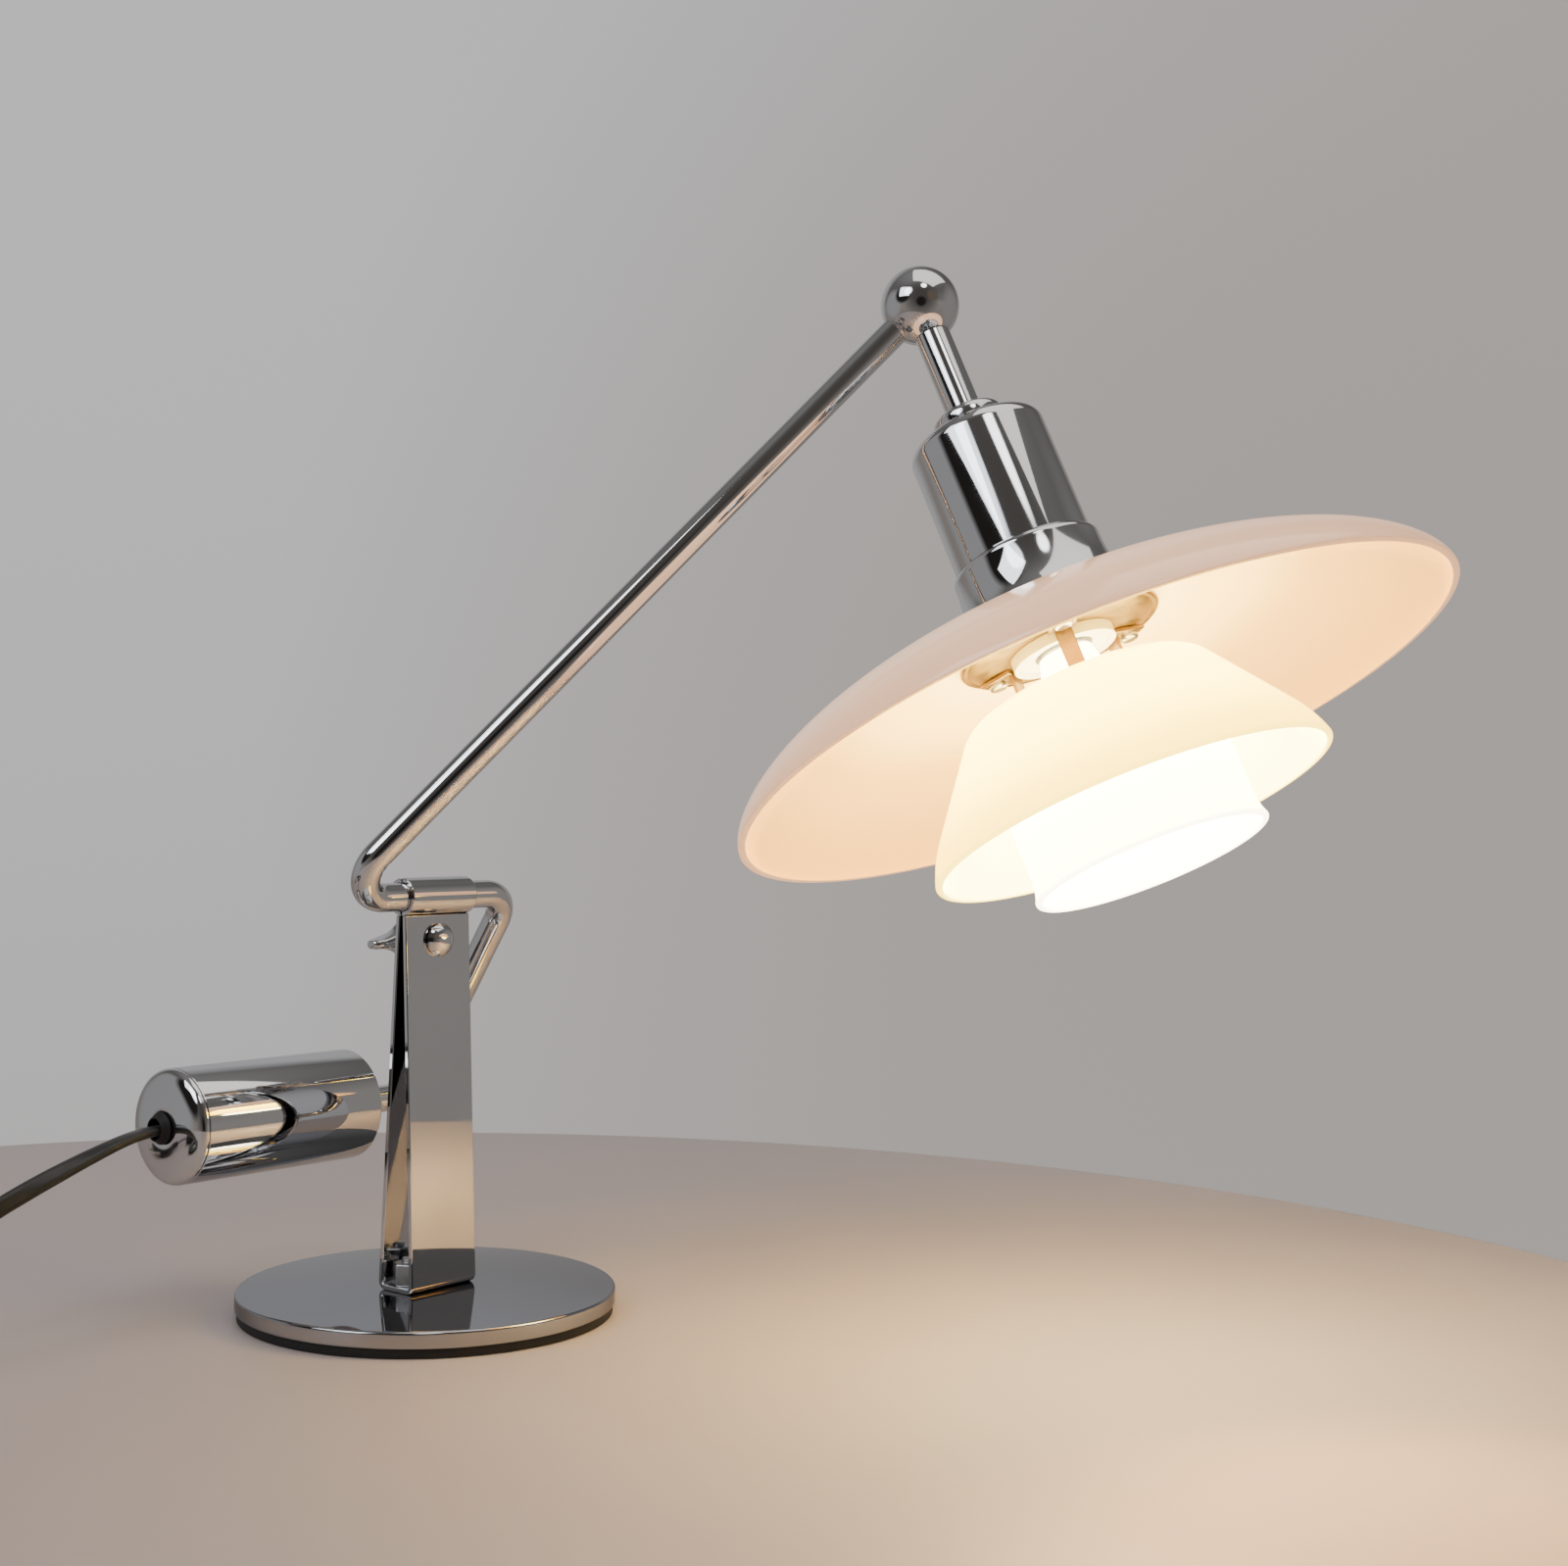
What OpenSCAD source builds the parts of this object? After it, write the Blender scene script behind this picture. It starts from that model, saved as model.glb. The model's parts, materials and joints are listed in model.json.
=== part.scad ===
// Swing arm desk lamp: a round base, a folded strip stand that clamps a bent tube arm,
// a counterweight on its short end and a ball-jointed head with three stacked glass shades.
// +X is the hinge axis of the arm, the head hangs over -Y, and z = 0 is the table.

/* [Base] */
// Diameter of the metal base disc
base_d = 106; // [96:1:130]
// Thickness of the metal base disc
base_t = 4.7; // [4:0.1:8]
// Thickness of the rubber pad under the disc
foot_t = 2.3; // [1.5:0.1:4]
// How far the rubber pad stays inside the disc's edge
foot_inset = 0.7; // [0.3:0.1:3]
// Rounding of the disc's edges
base_edge = 0.8; // [0.4:0.1:1.5]

/* [Stand] */
// Width of the folded strip
strip_w = 24; // [20:0.5:30]
// Thickness of the folded strip
strip_t = 1.5; // [1:0.1:2.5]
// Outer distance between the two plates where they leave the base
strip_foot = 14; // [13:0.5:20]
// Outer distance between the two plates at their top
strip_top = 4; // [3.8:0.1:5.4]
// Outer radius of the two folds
fold_r = 2.5; // [2:0.1:4]
// Height of the arm's hinge axis above the table
axis_h = 117; // [100:1:150]
// Distance of each base bolt from the middle
bolt_x = 7.2; // [6:0.1:8]
// Thread diameter of the base bolts
bolt_d = 4; // [3:0.5:5]
// Distance across the flats of the base nuts
nut_af = 8; // [7:0.5:8.5]
// Height of the base nuts
nut_h = 6.2; // [4:0.1:8]
// Wall of the two half sleeves that hold the arm
sleeve_t = 1.25; // [1:0.05:2]
// Gap between the two half sleeves
sleeve_gap = 0.5; // [0.2:0.1:1]

/* [Clamp] */
// Distance of the clamp screw below the hinge axis
clamp_drop = 12.3; // [12:0.1:16]
// Diameter of the clamp screw
screw_d = 5; // [4:0.5:5]
// Diameter of the clamp screw's domed head
screw_head_d = 9.2; // [8:0.1:10]
// Height of the domed head
screw_head_h = 3.2; // [2.5:0.1:4]
// Thickness of the washer under the wing nut
washer_t = 0.8; // [0.5:0.1:1.5]
// Diameter of the wing nut's hub
wing_hub_d = 12; // [11:0.5:12.5]
// Depth of the wing nut's hub
wing_hub_h = 9; // [7:0.5:12]
// Distance across the tips of the two wings
wing_span = 27.6; // [24:0.2:32]
// Thickness of the wings
wing_t = 2.8; // [2:0.1:4]
// Angle of the wings from level
wing_turn = 7; // [0:1:90]

/* [Arm] */
// Outer diameter of the arm tube
tube_d = 8; // [7:0.5:10]
// Wall of the arm tube
tube_t = 1; // [0.8:0.1:1.5]
// Centreline radius of the tube's bends
bend_r = 10; // [9:0.5:14]
// Length of the long front leg, from its bend's corner to the ball
front_len = 231; // [180:1:300]
// Angle of the front leg from the hinge axis
front_angle = 60; // [50:1:75]
// Rise of the arm's plane above the table
arm_rise = 57; // [50:1:70]
// Corner of the front bend, left of the stand's middle
corner_left = 36; // [34:1:50]
// Corner of the rear bend, right of the stand's middle
corner_right = 30; // [28:1:40]
// Length of the short rear leg, from corner to corner
rear_len = 75.5; // [70:0.5:100]
// Diameter of the cable inside the tube
core_cable_d = 4.4; // [3:0.1:5]

/* [Counterweight] */
// Diameter of the counterweight
weight_d = 32; // [28:1:40]
// Length of the counterweight's straight shell
weight_len = 60.6; // [50:0.1:80]
// Distance of the shell's face from the rear bend's corner
weight_gap = 25.4; // [16:0.1:32]
// Wall of the counterweight's shell
weight_wall = 1.2; // [0.8:0.1:2]
// Height of the domed end cap
weight_cap_h = 4; // [3:0.1:6]
// Rounding of the domed end cap
weight_cap_r = 3.5; // [2:0.1:4]
// Outer diameter of the rubber cord bush
bush_d = 9; // [8:0.5:12]

/* [Ball and stem] */
// Diameter of the joint ball
ball_d = 22; // [20:1:28]
// Diameter of the stem
stem_d = 10; // [8:0.5:11]
// Distance from the ball's middle to the socket cap
stem_len = 42; // [34:1:60]
// Diameter of the boss on top of the socket cap
boss_d = 20; // [16:1:26]
// Height of that boss
boss_h = 6.3; // [4:0.1:10]
// Tilt of the head from hanging straight down
head_tilt = 26.2; // [0:0.1:40]

/* [Socket cap] */
// Diameter of the socket cap
cap_d = 38.3; // [36:0.1:46]
// Length of the socket cap
cap_len = 39; // [34:0.5:60]
// Wall of the socket cap
cap_wall = 1; // [0.8:0.1:2]
// Rounding of the cap's shoulder
cap_edge = 4; // [2:0.5:6]
// Diameter of the flared foot
flare_d = 60; // [54:1:70]
// Height of the flared foot
flare_h = 21.3; // [18:0.1:30]
// Diameter of the lampholder
holder_d = 26; // [24:0.5:27]
// Length of the lampholder
holder_len = 44; // [36:1:50]
// Diameter of the bulb
bulb_d = 26; // [22:1:27]
// Length of the bulb's glass
bulb_len = 44; // [36:1:50]

/* [Shades] */
// Wall of the three glass shades
glass_t = 2; // [1.6:0.1:3]
// Diameter of the top shade's rim
top_d = 200; // [180:2:240]
// Depth of the top shade
top_h = 31.6; // [28:0.2:44]
// Diameter of the middle shade's rim
mid_d = 110; // [100:1:130]
// Depth of the middle shade
mid_h = 36.5; // [32:0.5:48]
// Distance from the top shade's rim down to the middle shade's rim
mid_drop = 26.1; // [24:0.1:40]
// Diameter of the bottom shade's rim
low_d = 64.6; // [60:0.2:72]
// Depth of the bottom shade
low_h = 37; // [32:0.5:48]
// Distance from the middle shade's rim down to the bottom shade's rim
low_drop = 12.6; // [8:0.1:24]
// Diameter of the neck hole in each shade
neck_d = 36; // [35:0.5:40]
// Width of the three strips that carry the shades
leg_w = 4.6; // [4:0.2:8]
// Thickness of those strips
leg_t = 1.2; // [1:0.1:1.5]

/* [Cord] */
// Width of the flat cord
cord_w = 5; // [4:0.2:6]
// Thickness of the flat cord
cord_t = 3.2; // [2.6:0.2:4]
// Middle radius of the stored coil
coil_r = 28; // [26:1:34]

/* [Hidden] */
$fn = 96;
eps = 0.01;
fit = 0.05;                 // radial running fit of every turning or sliding pair
gap = 0.1;                  // free gap between pieces that only rest on each other
lap = 0.5;                  // how far the arm's straights run into its bends
dome_p = 0.98;              // the exponents that shape the top shade's flat dome
dome_q = 1.2;

disc_top = foot_t + base_t;
strip_bottom = disc_top;
strip_floor = strip_bottom + strip_t;
tube_r = tube_d / 2;
sleeve_in = tube_r + fit;
sleeve_out = sleeve_in + sleeve_t;
clamp_z = axis_h - clamp_drop;
plate_top = axis_h - 3;     // the plates' tops are cut to the sleeves
plate_lean = (strip_foot - strip_top) / 2 / (axis_h - 5 - strip_bottom - fold_r);
clamp_face = strip_top / 2 + plate_lean * (axis_h - 5 - clamp_z);
seat_y = clamp_face + plate_lean * 5 + 0.05;

weight_axis = -rear_len;
weight_face = corner_right - weight_gap;
weight_seam = weight_face - weight_len;
weight_end = weight_seam - weight_cap_h;
core_start = weight_face - weight_wall - gap;
core_end = weight_seam + 10;
weight_nut_h = 4;
tube_end_x = core_end - weight_nut_h - 1;

ball_r = ball_d / 2;
tube_stop = 4.6;            // the tube ends this far from the ball's middle
ring_at = 7;                // middle of the snap ring from the ball's middle
stem_r = stem_d / 2;
spigot_r = stem_r - 2;
stem_seat = sqrt(ball_r * ball_r - stem_r * stem_r);
cap_top = stem_len;
cap_end = cap_top + cap_len;
flare_end = cap_end + flare_h;
cap_r = cap_d / 2;
seat_r = flare_d / 2 - 2;   // the flared foot sits on the glass from here outwards
rim_top = flare_end + dome_rise(top_d / 2, top_h, seat_r) + gap;    // s of the top shade's rim
crown_top = rim_top - top_h;
rim_mid = rim_top + mid_drop;
rim_low = rim_mid + low_drop;
foot_w = leg_w + 3.4;       // the strips' screwed feet
gasket_h = 1.5;
plate_t = 1.6;
plate_r = flare_d / 2 - 1.7;
gasket_r = plate_r - 3;
plate_s = under_glass(gasket_r) + gasket_h + 2 * gap;
holder_end = plate_s + plate_t + 2;
neck_r = neck_d / 2;
leg_r = neck_r - 1.2 - leg_t;
leg_angles = [-27, -147, 93];
low_s = rim_low - low_h;
mid_s = rim_mid - mid_h;
tab_h = 1.2;
tab_reach = neck_r + 5;

// the cord's free stretch, from the bush to the coil
CORD = [[-60.7, 41, 53.3], [-66, 41, 52.9], [-72, 41, 51.8], [-80, 41, 49.5], [-90, 41, 46.2],
        [-100, 41, 42.6], [-110, 41, 38.6], [-120, 41, 34], [-130, 41, 28.8], [-140, 41, 23],
        [-150, 41, 17.2], [-160, 41, 12], [-170, 41, 7.8], [-180, 41, 4.8], [-190, 41, 2.9],
        [-200, 41, 1.9], [-206, 41, 1.7]];
coil_layers = 2;
coil_wide = 4;
turn_r = coil_r + cord_w * (coil_wide - 1) / 2;     // the outermost turn
coil_x = -206;
coil_y = 41 + turn_r;
// the stretch from the coil through the switch to the plug
TAIL = [[-241.5, 76.5, 4.9], [-241.5, 84, 4.6], [-241.5, 92, 5.2], [-241.5, 99, 6.6],
        [-241.5, 106, 7.2], [-241.5, 113, 7.3]];
switch_x = -241.5;
switch_y = 110;
switch_len = 54;
switch_w = 24;
switch_h = 14;
switch_r = 5;
switch_split = 7.5;
rocker_tilt = 8;
rocker_pin_r = 0.75;
LEAD = [[-241.5, 161, 7.3], [-241.5, 168, 7], [-239.5, 177, 6.6], [-234, 185.5, 6.4],
        [-225.5, 191, 6.4], [-215.5, 193, 6.5], [-206, 193, 6.5]];
relief_len = 18;
plug_x = -206 + relief_len;
plug_y = 193;
plug_z = 6.5;
plug_len = 34;
plug_w = 26;
plug_h = 12.8;
pin_gap = 18.6;
pin_d = 4;
pin_len = 19;

// height of a dome of rim radius r and depth h above its rim, at radius x
function dome_rise(r, h, x) = h * pow(sqrt(1 - pow(x / r, 2 / dome_p)), dome_q);

// s of the top shade's inner surface at radius x
function under_glass(x) = rim_top - dome_rise(top_d / 2 - glass_t, top_h - glass_t, x);

// points of an arc round [cx, cy], from angle a0 to a1
function arc(cx, cy, r, a0, a1, n = 8) =
    [for (i = [0 : n]) [cx + r * cos(a0 + (a1 - a0) * i / n), cy + r * sin(a0 + (a1 - a0) * i / n)]];

// length direction between two points, as a unit vector
function unit(v) = v / norm(v);

// the direction of a route at point i
function along(path, i) =
    unit(path[min(i + 1, len(path) - 1)] - path[max(i - 1, 0)]);

// one ring of a flat cord, its width level
function cord_ring(path, i, w, t, sides) =
    let (d = along(path, i),
         side = unit(cross(d, [0, 0, 1])),
         up = cross(side, d))
    [for (k = [0 : sides - 1])
        path[i] + side * w / 2 * cos(360 * k / sides) + up * t / 2 * sin(360 * k / sides)];

// a closed tube swept along a route
module sweep(path, w, t, sides = 8) {
    n = len(path);
    rings = [for (i = [0 : n - 1]) each cord_ring(path, i, w, t, sides)];
    walls = [for (i = [0 : n - 2], k = [0 : sides - 1])
        [i * sides + k, i * sides + (k + 1) % sides,
         (i + 1) * sides + (k + 1) % sides, (i + 1) * sides + k]];
    near = [for (k = [sides - 1 : -1 : 0]) k];
    far = [for (k = [0 : sides - 1]) (n - 1) * sides + k];
    polyhedron(points = rings, faces = concat(walls, [near], [far]), convexity = 4);
}

// a cylinder along +X from x0 to x1
module bar_x(r, x0, x1) {
    translate([min(x0, x1), 0, 0]) rotate([0, 90, 0]) cylinder(r = r, h = abs(x1 - x0));
}

module cylinder_from(r, z0, z1) {
    translate([0, 0, z0]) cylinder(r = r, h = z1 - z0);
}

// places its children in the arm's plane: x along the hinge, y up the plane
module arm_plane() {
    translate([0, 0, axis_h]) rotate([180 - arm_rise, 0, 0]) children();
}

// one bend of a round bar, from angle a0, round the middle at [x, y]
module bend(x, y, r, a0, turn) {
    translate([x, y, 0]) rotate_extrude(angle = turn, start = a0) translate([bend_r, 0]) circle(r = r);
}

// a solid round bar along the arm's whole bent route; each straight laps a little into its bends
module arm_bar(r, head_stop, weight_stop) {
    front_bend = bend_r * tan(front_turn() / 2);
    bent_r = r + 0.02;
    translate([-corner_left, 0, 0]) rotate([0, 0, front_angle])
        bar_x(r, front_bend - lap, front_len - head_stop);
    bend(-corner_left + front_bend, bend_r, bent_r, 270 - front_turn(), front_turn());
    bar_x(r, -corner_left + front_bend - lap, corner_right - bend_r + lap);
    bend(corner_right - bend_r, -bend_r, bent_r, 0, 90);
    translate([corner_right, 0, 0]) rotate([0, 0, -90])
        bar_x(r, bend_r - lap, rear_len - bend_r + lap);
    bend(corner_right - bend_r, bend_r - rear_len, bent_r, 270, 90);
    translate([0, weight_axis, 0]) bar_x(r, weight_stop, corner_right - bend_r + lap);
}

function front_turn() = 180 - front_angle;

// places its children with the counterweight's axis along x
module weight_place() {
    arm_plane() translate([0, weight_axis, 0]) children();
}

// the ball's middle, in the arm's plane
ball_at = [-corner_left + front_len * cos(front_angle), front_len * sin(front_angle), 0];

// the ball's middle, in the lamp's own frame
function arm_to_world(v) =
    [v[0], -v[1] * cos(arm_rise) + v[2] * -sin(arm_rise),
     axis_h + v[1] * sin(arm_rise) + v[2] * -cos(arm_rise)];

// places its children at the ball's middle with the head's axis along z and the shades below
module head_place() {
    translate(arm_to_world(ball_at)) rotate([-head_tilt, 0, 0]) children();
}

// places its children at the ball's middle with the front leg running along -z
module swivel_place() {
    arm_plane() translate(ball_at) rotate([0, 0, front_angle]) rotate([0, 90, 0]) children();
}

// a ring or shell turned about the head's axis from an outline in [radius, s]
module turned(points) {
    rotate_extrude() polygon([for (p = points) [p[0], -p[1]]]);
}

module ring(r_in, r_out, s0, s1) {
    translate([0, 0, -s1]) difference() {
        cylinder(r = r_out, h = s1 - s0);
        if (r_in > 0) translate([0, 0, -eps]) cylinder(r = r_in, h = s1 - s0 + 2 * eps);
    }
}

module base_disc() {
    r = base_d / 2;
    color("silver") difference() {
        rotate_extrude() polygon(concat(
            [[0, foot_t]], [[r - base_edge, foot_t]],
            arc(r - base_edge, foot_t + base_edge, base_edge, -90, 0),
            arc(r - base_edge, disc_top - base_edge, base_edge, 0, 90),
            [[0, disc_top]]));
        bolt_holes(foot_t - eps, disc_top + eps);
    }
}

module bolt_holes(z0, z1) {
    for (x = [-bolt_x, bolt_x])
        translate([x, 0, z0]) cylinder(r = bolt_d / 2 + 0.2, h = z1 - z0);
}

module foot_pad() {
    color("black") difference() {
        cylinder(r = base_d / 2 - foot_inset, h = foot_t);
        for (x = [-bolt_x, bolt_x]) translate([x, 0, -eps])
            cylinder(r = bolt_d / 2 + 2.4, h = foot_t + 2 * eps);
    }
}

module base_bolts() {
    head_r = bolt_d / 2 + 2;
    head_h = foot_t - 0.3;
    color("silver") for (x = [-bolt_x, bolt_x]) translate([x, 0, 0]) {
        translate([0, 0, foot_t - head_h]) cylinder(r = head_r, h = head_h);
        cylinder_from(bolt_d / 2, foot_t - eps, strip_floor + nut_h + 1.3);
    }
}

module base_nuts() {
    color("silver") for (x = [-bolt_x, bolt_x]) translate([x, 0, strip_floor]) difference() {
        cylinder(d = nut_af / cos(30), h = nut_h, $fn = 6);
        translate([0, 0, -eps]) cylinder(r = bolt_d / 2 + fit, h = nut_h + 2 * eps);
    }
}

// one half of the folded strip's section, in [y, z]
function strip_half() =
    let (foot = strip_foot / 2,
         lift = strip_bottom + fold_r,
         top_out = foot - plate_lean * (plate_top - lift),
         in_r = fold_r - strip_t)
    concat(arc(foot - fold_r, lift, fold_r, -90, 0), [[top_out, plate_top]],
           [[top_out - strip_t, plate_top]], arc(foot - fold_r, lift, in_r, 0, -90));

module stand_strip() {
    half = strip_half();
    n = len(half);
    outline = concat(half, [for (i = [n - 1 : -1 : 0]) [-half[i][0], half[i][1]]]);
    color("silver") difference() {
        translate([-strip_w / 2, 0, 0]) rotate([90, 0, 90])
            linear_extrude(strip_w) polygon(outline);
        bolt_holes(strip_bottom - eps, strip_floor + eps);
        translate([0, 0, clamp_z]) rotate([90, 0, 0])
            cylinder(r = screw_d / 2 + 0.2, h = strip_foot, center = true);
        translate([-strip_w / 2 - 1, 0, axis_h]) rotate([0, 90, 0])
            cylinder(r = sleeve_out, h = strip_w + 2);
    }
}

module half_sleeve(side) {
    intersection() {
        translate([0, 0, axis_h]) rotate([0, 90, 0]) difference() {
            cylinder(r = sleeve_out, h = strip_w, center = true);
            cylinder(r = sleeve_in, h = strip_w + 1, center = true);
        }
        translate([-strip_w, side > 0 ? sleeve_gap / 2 : -sleeve_out - sleeve_gap, axis_h - sleeve_out - 1])
            cube([2 * strip_w, sleeve_out + sleeve_gap / 2, 2 * sleeve_out + 2]);
    }
}

module sleeve_front() {
    color("silver") half_sleeve(-1);
}

module sleeve_back() {
    color("silver") half_sleeve(1);
}

// places its children on the clamp's axis, z pointing out of the front plate
module clamp_place() {
    translate([0, 0, clamp_z]) rotate([90, 0, 0]) children();
}

module clamp_screw() {
    r = screw_head_d / 2;
    h = screw_head_h;
    crown = 0.9;
    sphere_r = (r * r + (h - crown) * (h - crown)) / (2 * (h - crown));
    color("silver") clamp_place() {
        translate([0, 0, seat_y]) intersection() {
            cylinder(r = r, h = h);
            translate([0, 0, h - sphere_r]) sphere(r = sphere_r);
        }
        translate([0, 0, -seat_y - washer_t - wing_hub_h - 1.6])
            cylinder(r = screw_d / 2, h = 2 * seat_y + washer_t + wing_hub_h + 1.6 + eps);
    }
}

module clamp_washer() {
    color("silver") clamp_place() translate([0, 0, -seat_y - washer_t]) difference() {
        cylinder(r = screw_d, h = washer_t);
        translate([0, 0, -eps]) cylinder(r = screw_d / 2 + 0.2, h = washer_t + 2 * eps);
    }
}

// half the outline of the wings seen along the screw, broad at the hub and waisted to the tip
function wing_front(hub_r, tip_x, half) =
    [[0, hub_r - 0.3], [hub_r * 0.55, hub_r - 0.4], [hub_r, hub_r * 0.56], [hub_r + 2.5, half + 0.7],
     [hub_r + 4.5, half + 0.1], [tip_x - half, half], [tip_x - 0.3, half * 0.55], [tip_x, 0]];

module wing_nut() {
    tip_r = 3.6;
    half = wing_t / 2;
    tip_x = wing_span / 2;
    tip_z = wing_hub_h - 2;
    hub_r = wing_hub_d / 2;
    start = seat_y + washer_t + gap;
    quarter = wing_front(hub_r, tip_x, half);
    last = len(quarter) - 1;
    color("silver") clamp_place() mirror([0, 0, 1]) translate([0, 0, start]) rotate([0, 0, wing_turn])
        difference() {
            union() {
                rotate_extrude() polygon(concat([[0, 0], [hub_r - 0.6, 0]],
                    arc(hub_r - 0.6, 0.6, 0.6, -90, 0, 4),
                    [[hub_r, 2], [hub_r - 0.8, wing_hub_h - 0.8], [hub_r - 1.6, wing_hub_h],
                     [0, wing_hub_h]]));
                intersection() {
                    linear_extrude(wing_hub_h + tip_r) polygon(concat(quarter,
                        [for (i = [last - 1 : -1 : 0]) [quarter[i][0], -quarter[i][1]]],
                        [for (i = [1 : last]) [-quarter[i][0], -quarter[i][1]]],
                        [for (i = [last - 1 : -1 : 1]) [-quarter[i][0], quarter[i][1]]]));
                    rotate([90, 0, 0]) translate([0, 0, -hub_r]) linear_extrude(2 * hub_r)
                        for (side = [0, 1]) mirror([side, 0]) polygon(concat(
                            [[-eps, 0.8], [hub_r, 1.2]],
                            arc(tip_x - tip_r, tip_z, tip_r, -50, 110, 12),
                            [[hub_r - 0.6, wing_hub_h - 0.5], [-eps, wing_hub_h - 0.5]]));
                }
            }
            translate([0, 0, -eps]) cylinder(r = screw_d / 2 + fit, h = wing_hub_h + 2 * eps);
        }
}

module arm_tube() {
    color("silver") arm_plane() difference() {
        arm_bar(tube_r, tube_stop, tube_end_x);
        arm_bar(tube_r - tube_t, tube_stop - 1, tube_end_x - 1);
    }
}

module arm_cable() {
    color("black") arm_plane() arm_bar(core_cable_d / 2, tube_stop + 1, weight_end + 0.5);
}

module swivel_ring() {
    color("dimgray") swivel_place() translate([0, 0, -ring_at - 0.4]) difference() {
        cylinder(r = tube_r + 0.8, h = 0.8);
        translate([0, 0, -eps]) cylinder(r = tube_r + 0.02, h = 1);
    }
}

module weight_collar() {
    color("silver") weight_place() difference() {
        bar_x(tube_r + 1.4, weight_face + gap / 2, weight_face + 2);
        bar_x(tube_r + fit, weight_face - 1, weight_face + 3);
    }
}

module weight_core() {
    color("goldenrod") weight_place() difference() {
        bar_x(weight_d / 2 - weight_wall - fit, core_end, core_start);
        bar_x(tube_r + fit, core_end - 1, core_start + 1);
    }
}

module weight_shell() {
    r = weight_d / 2;
    edge = 0.7;
    color("silver") weight_place() rotate([0, -90, 0]) difference() {
        rotate_extrude() polygon(concat([[0, -weight_face]], [[r - edge, -weight_face]],
            arc(r - edge, -weight_face + edge, edge, -90, 0, 6), [[r, -weight_seam], [0, -weight_seam]]));
        cylinder_from(r - weight_wall, -weight_face + weight_wall, -weight_seam + 1);
        cylinder_from(tube_r + fit, -weight_face - 1, -weight_seam + 1);
    }
}

module weight_nut() {
    color("silver") weight_place() rotate([0, -90, 0]) difference() {
        translate([0, 0, -core_end + gap / 2]) cylinder(d = 14, h = weight_nut_h, $fn = 6);
        cylinder_from(tube_r + fit, -core_end - 1, -core_end + weight_nut_h + 1);
    }
}

module weight_cap() {
    r = weight_d / 2;
    lip_r = r - weight_wall - fit;
    lip_h = 2;
    color("silver") weight_place() rotate([0, -90, 0]) difference() {
        rotate_extrude() polygon(concat(
            [[0, -weight_seam - lip_h], [lip_r, -weight_seam - lip_h], [lip_r, -weight_seam + gap / 2],
             [r, -weight_seam + gap / 2]],
            arc(r - weight_cap_r, -weight_end - weight_cap_r, weight_cap_r, 0, 80, 8),
            [[bush_d / 2 + 1, -weight_end], [0, -weight_end]]));
        cylinder_from(bush_d / 2 - 1, -weight_seam - lip_h - 1, -weight_end + 1);
    }
}

module cord_bush() {
    collar = 1.4;
    color("black") weight_place() rotate([0, -90, 0]) difference() {
        union() {
            cylinder_from(bush_d / 2 - 1 - fit, -weight_seam - 2, -weight_end + eps);
            translate([0, 0, -weight_end]) cylinder(r = bush_d / 2, h = 0.6);
        }
        cylinder_from(core_cable_d / 2 + 0.3, -weight_seam - 3, -weight_end + collar);
    }
}

module joint_ball() {
    color("silver") difference() {
        head_place() difference() {
            sphere(r = ball_r, $fn = 128);
            cylinder_from(stem_r, -ball_r - 1, -stem_seat);
            cylinder_from(spigot_r + fit, -ball_r - 1, -stem_seat + 2);
            cylinder_from(core_cable_d / 2 + 0.4, -ball_r - 1, 0);
        }
        swivel_place() {
            cylinder_from(tube_r + fit, -ball_r - 1, -tube_stop + 0.1);
            cylinder_from(tube_r + 1, -ring_at - 0.6, -ring_at + 0.6);
            cylinder_from(core_cable_d / 2 + 0.4, -tube_stop - 1, 0.5);
        }
    }
}

module stem() {
    color("silver") head_place() difference() {
        union() {
            cylinder_from(stem_r, -cap_top - 3, -stem_seat - gap / 2);
            cylinder_from(spigot_r, -stem_seat - 1, -stem_seat + 1.8);
        }
        cylinder_from(core_cable_d / 2 + 0.2, -cap_top - 4, 0);
    }
}

module stem_cable() {
    color("black") head_place() cylinder_from(core_cable_d / 2, -(holder_end - holder_len) + gap, -5.6);
}

module stem_boss() {
    r = boss_d / 2;
    edge = 2.2;
    s0 = cap_top - boss_h;
    color("silver") head_place() difference() {
        turned(concat([[0, s0]], [[r - edge, s0]], [for (p = arc(0, 0, edge, 90, 0, 6))
            [r - edge + p[0], s0 + edge - p[1]]], [[r, cap_top - gap / 2], [0, cap_top - gap / 2]]));
        cylinder_from(stem_r + fit, -cap_top - 1, -s0 + 1);
    }
}

module socket_cap() {
    r = cap_r;
    in_edge = cap_edge - cap_wall;
    outer = [for (p = arc(0, 0, cap_edge, 90, 0, 10)) [r - cap_edge + p[0], cap_top + cap_edge - p[1]]];
    inner = [for (p = arc(0, 0, in_edge, 0, 90, 10)) [r - cap_edge + p[0], cap_top + cap_edge - p[1]]];
    color("silver") head_place() difference() {
        turned(concat([[0, cap_top]], outer, [[r, cap_end], [r - cap_wall, cap_end]], inner,
            [[0, cap_top + cap_wall]]));
        cylinder_from(stem_r + fit, -cap_top - cap_wall - 1, -cap_top + 1);
    }
}

// the flared foot's outer radius at a share t of its height
function flare_r(t) = let (r0 = cap_r + 1.6) r0 + (flare_d / 2 - r0) * (1 - sqrt(1 - pow(t, 2.2)));

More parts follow.
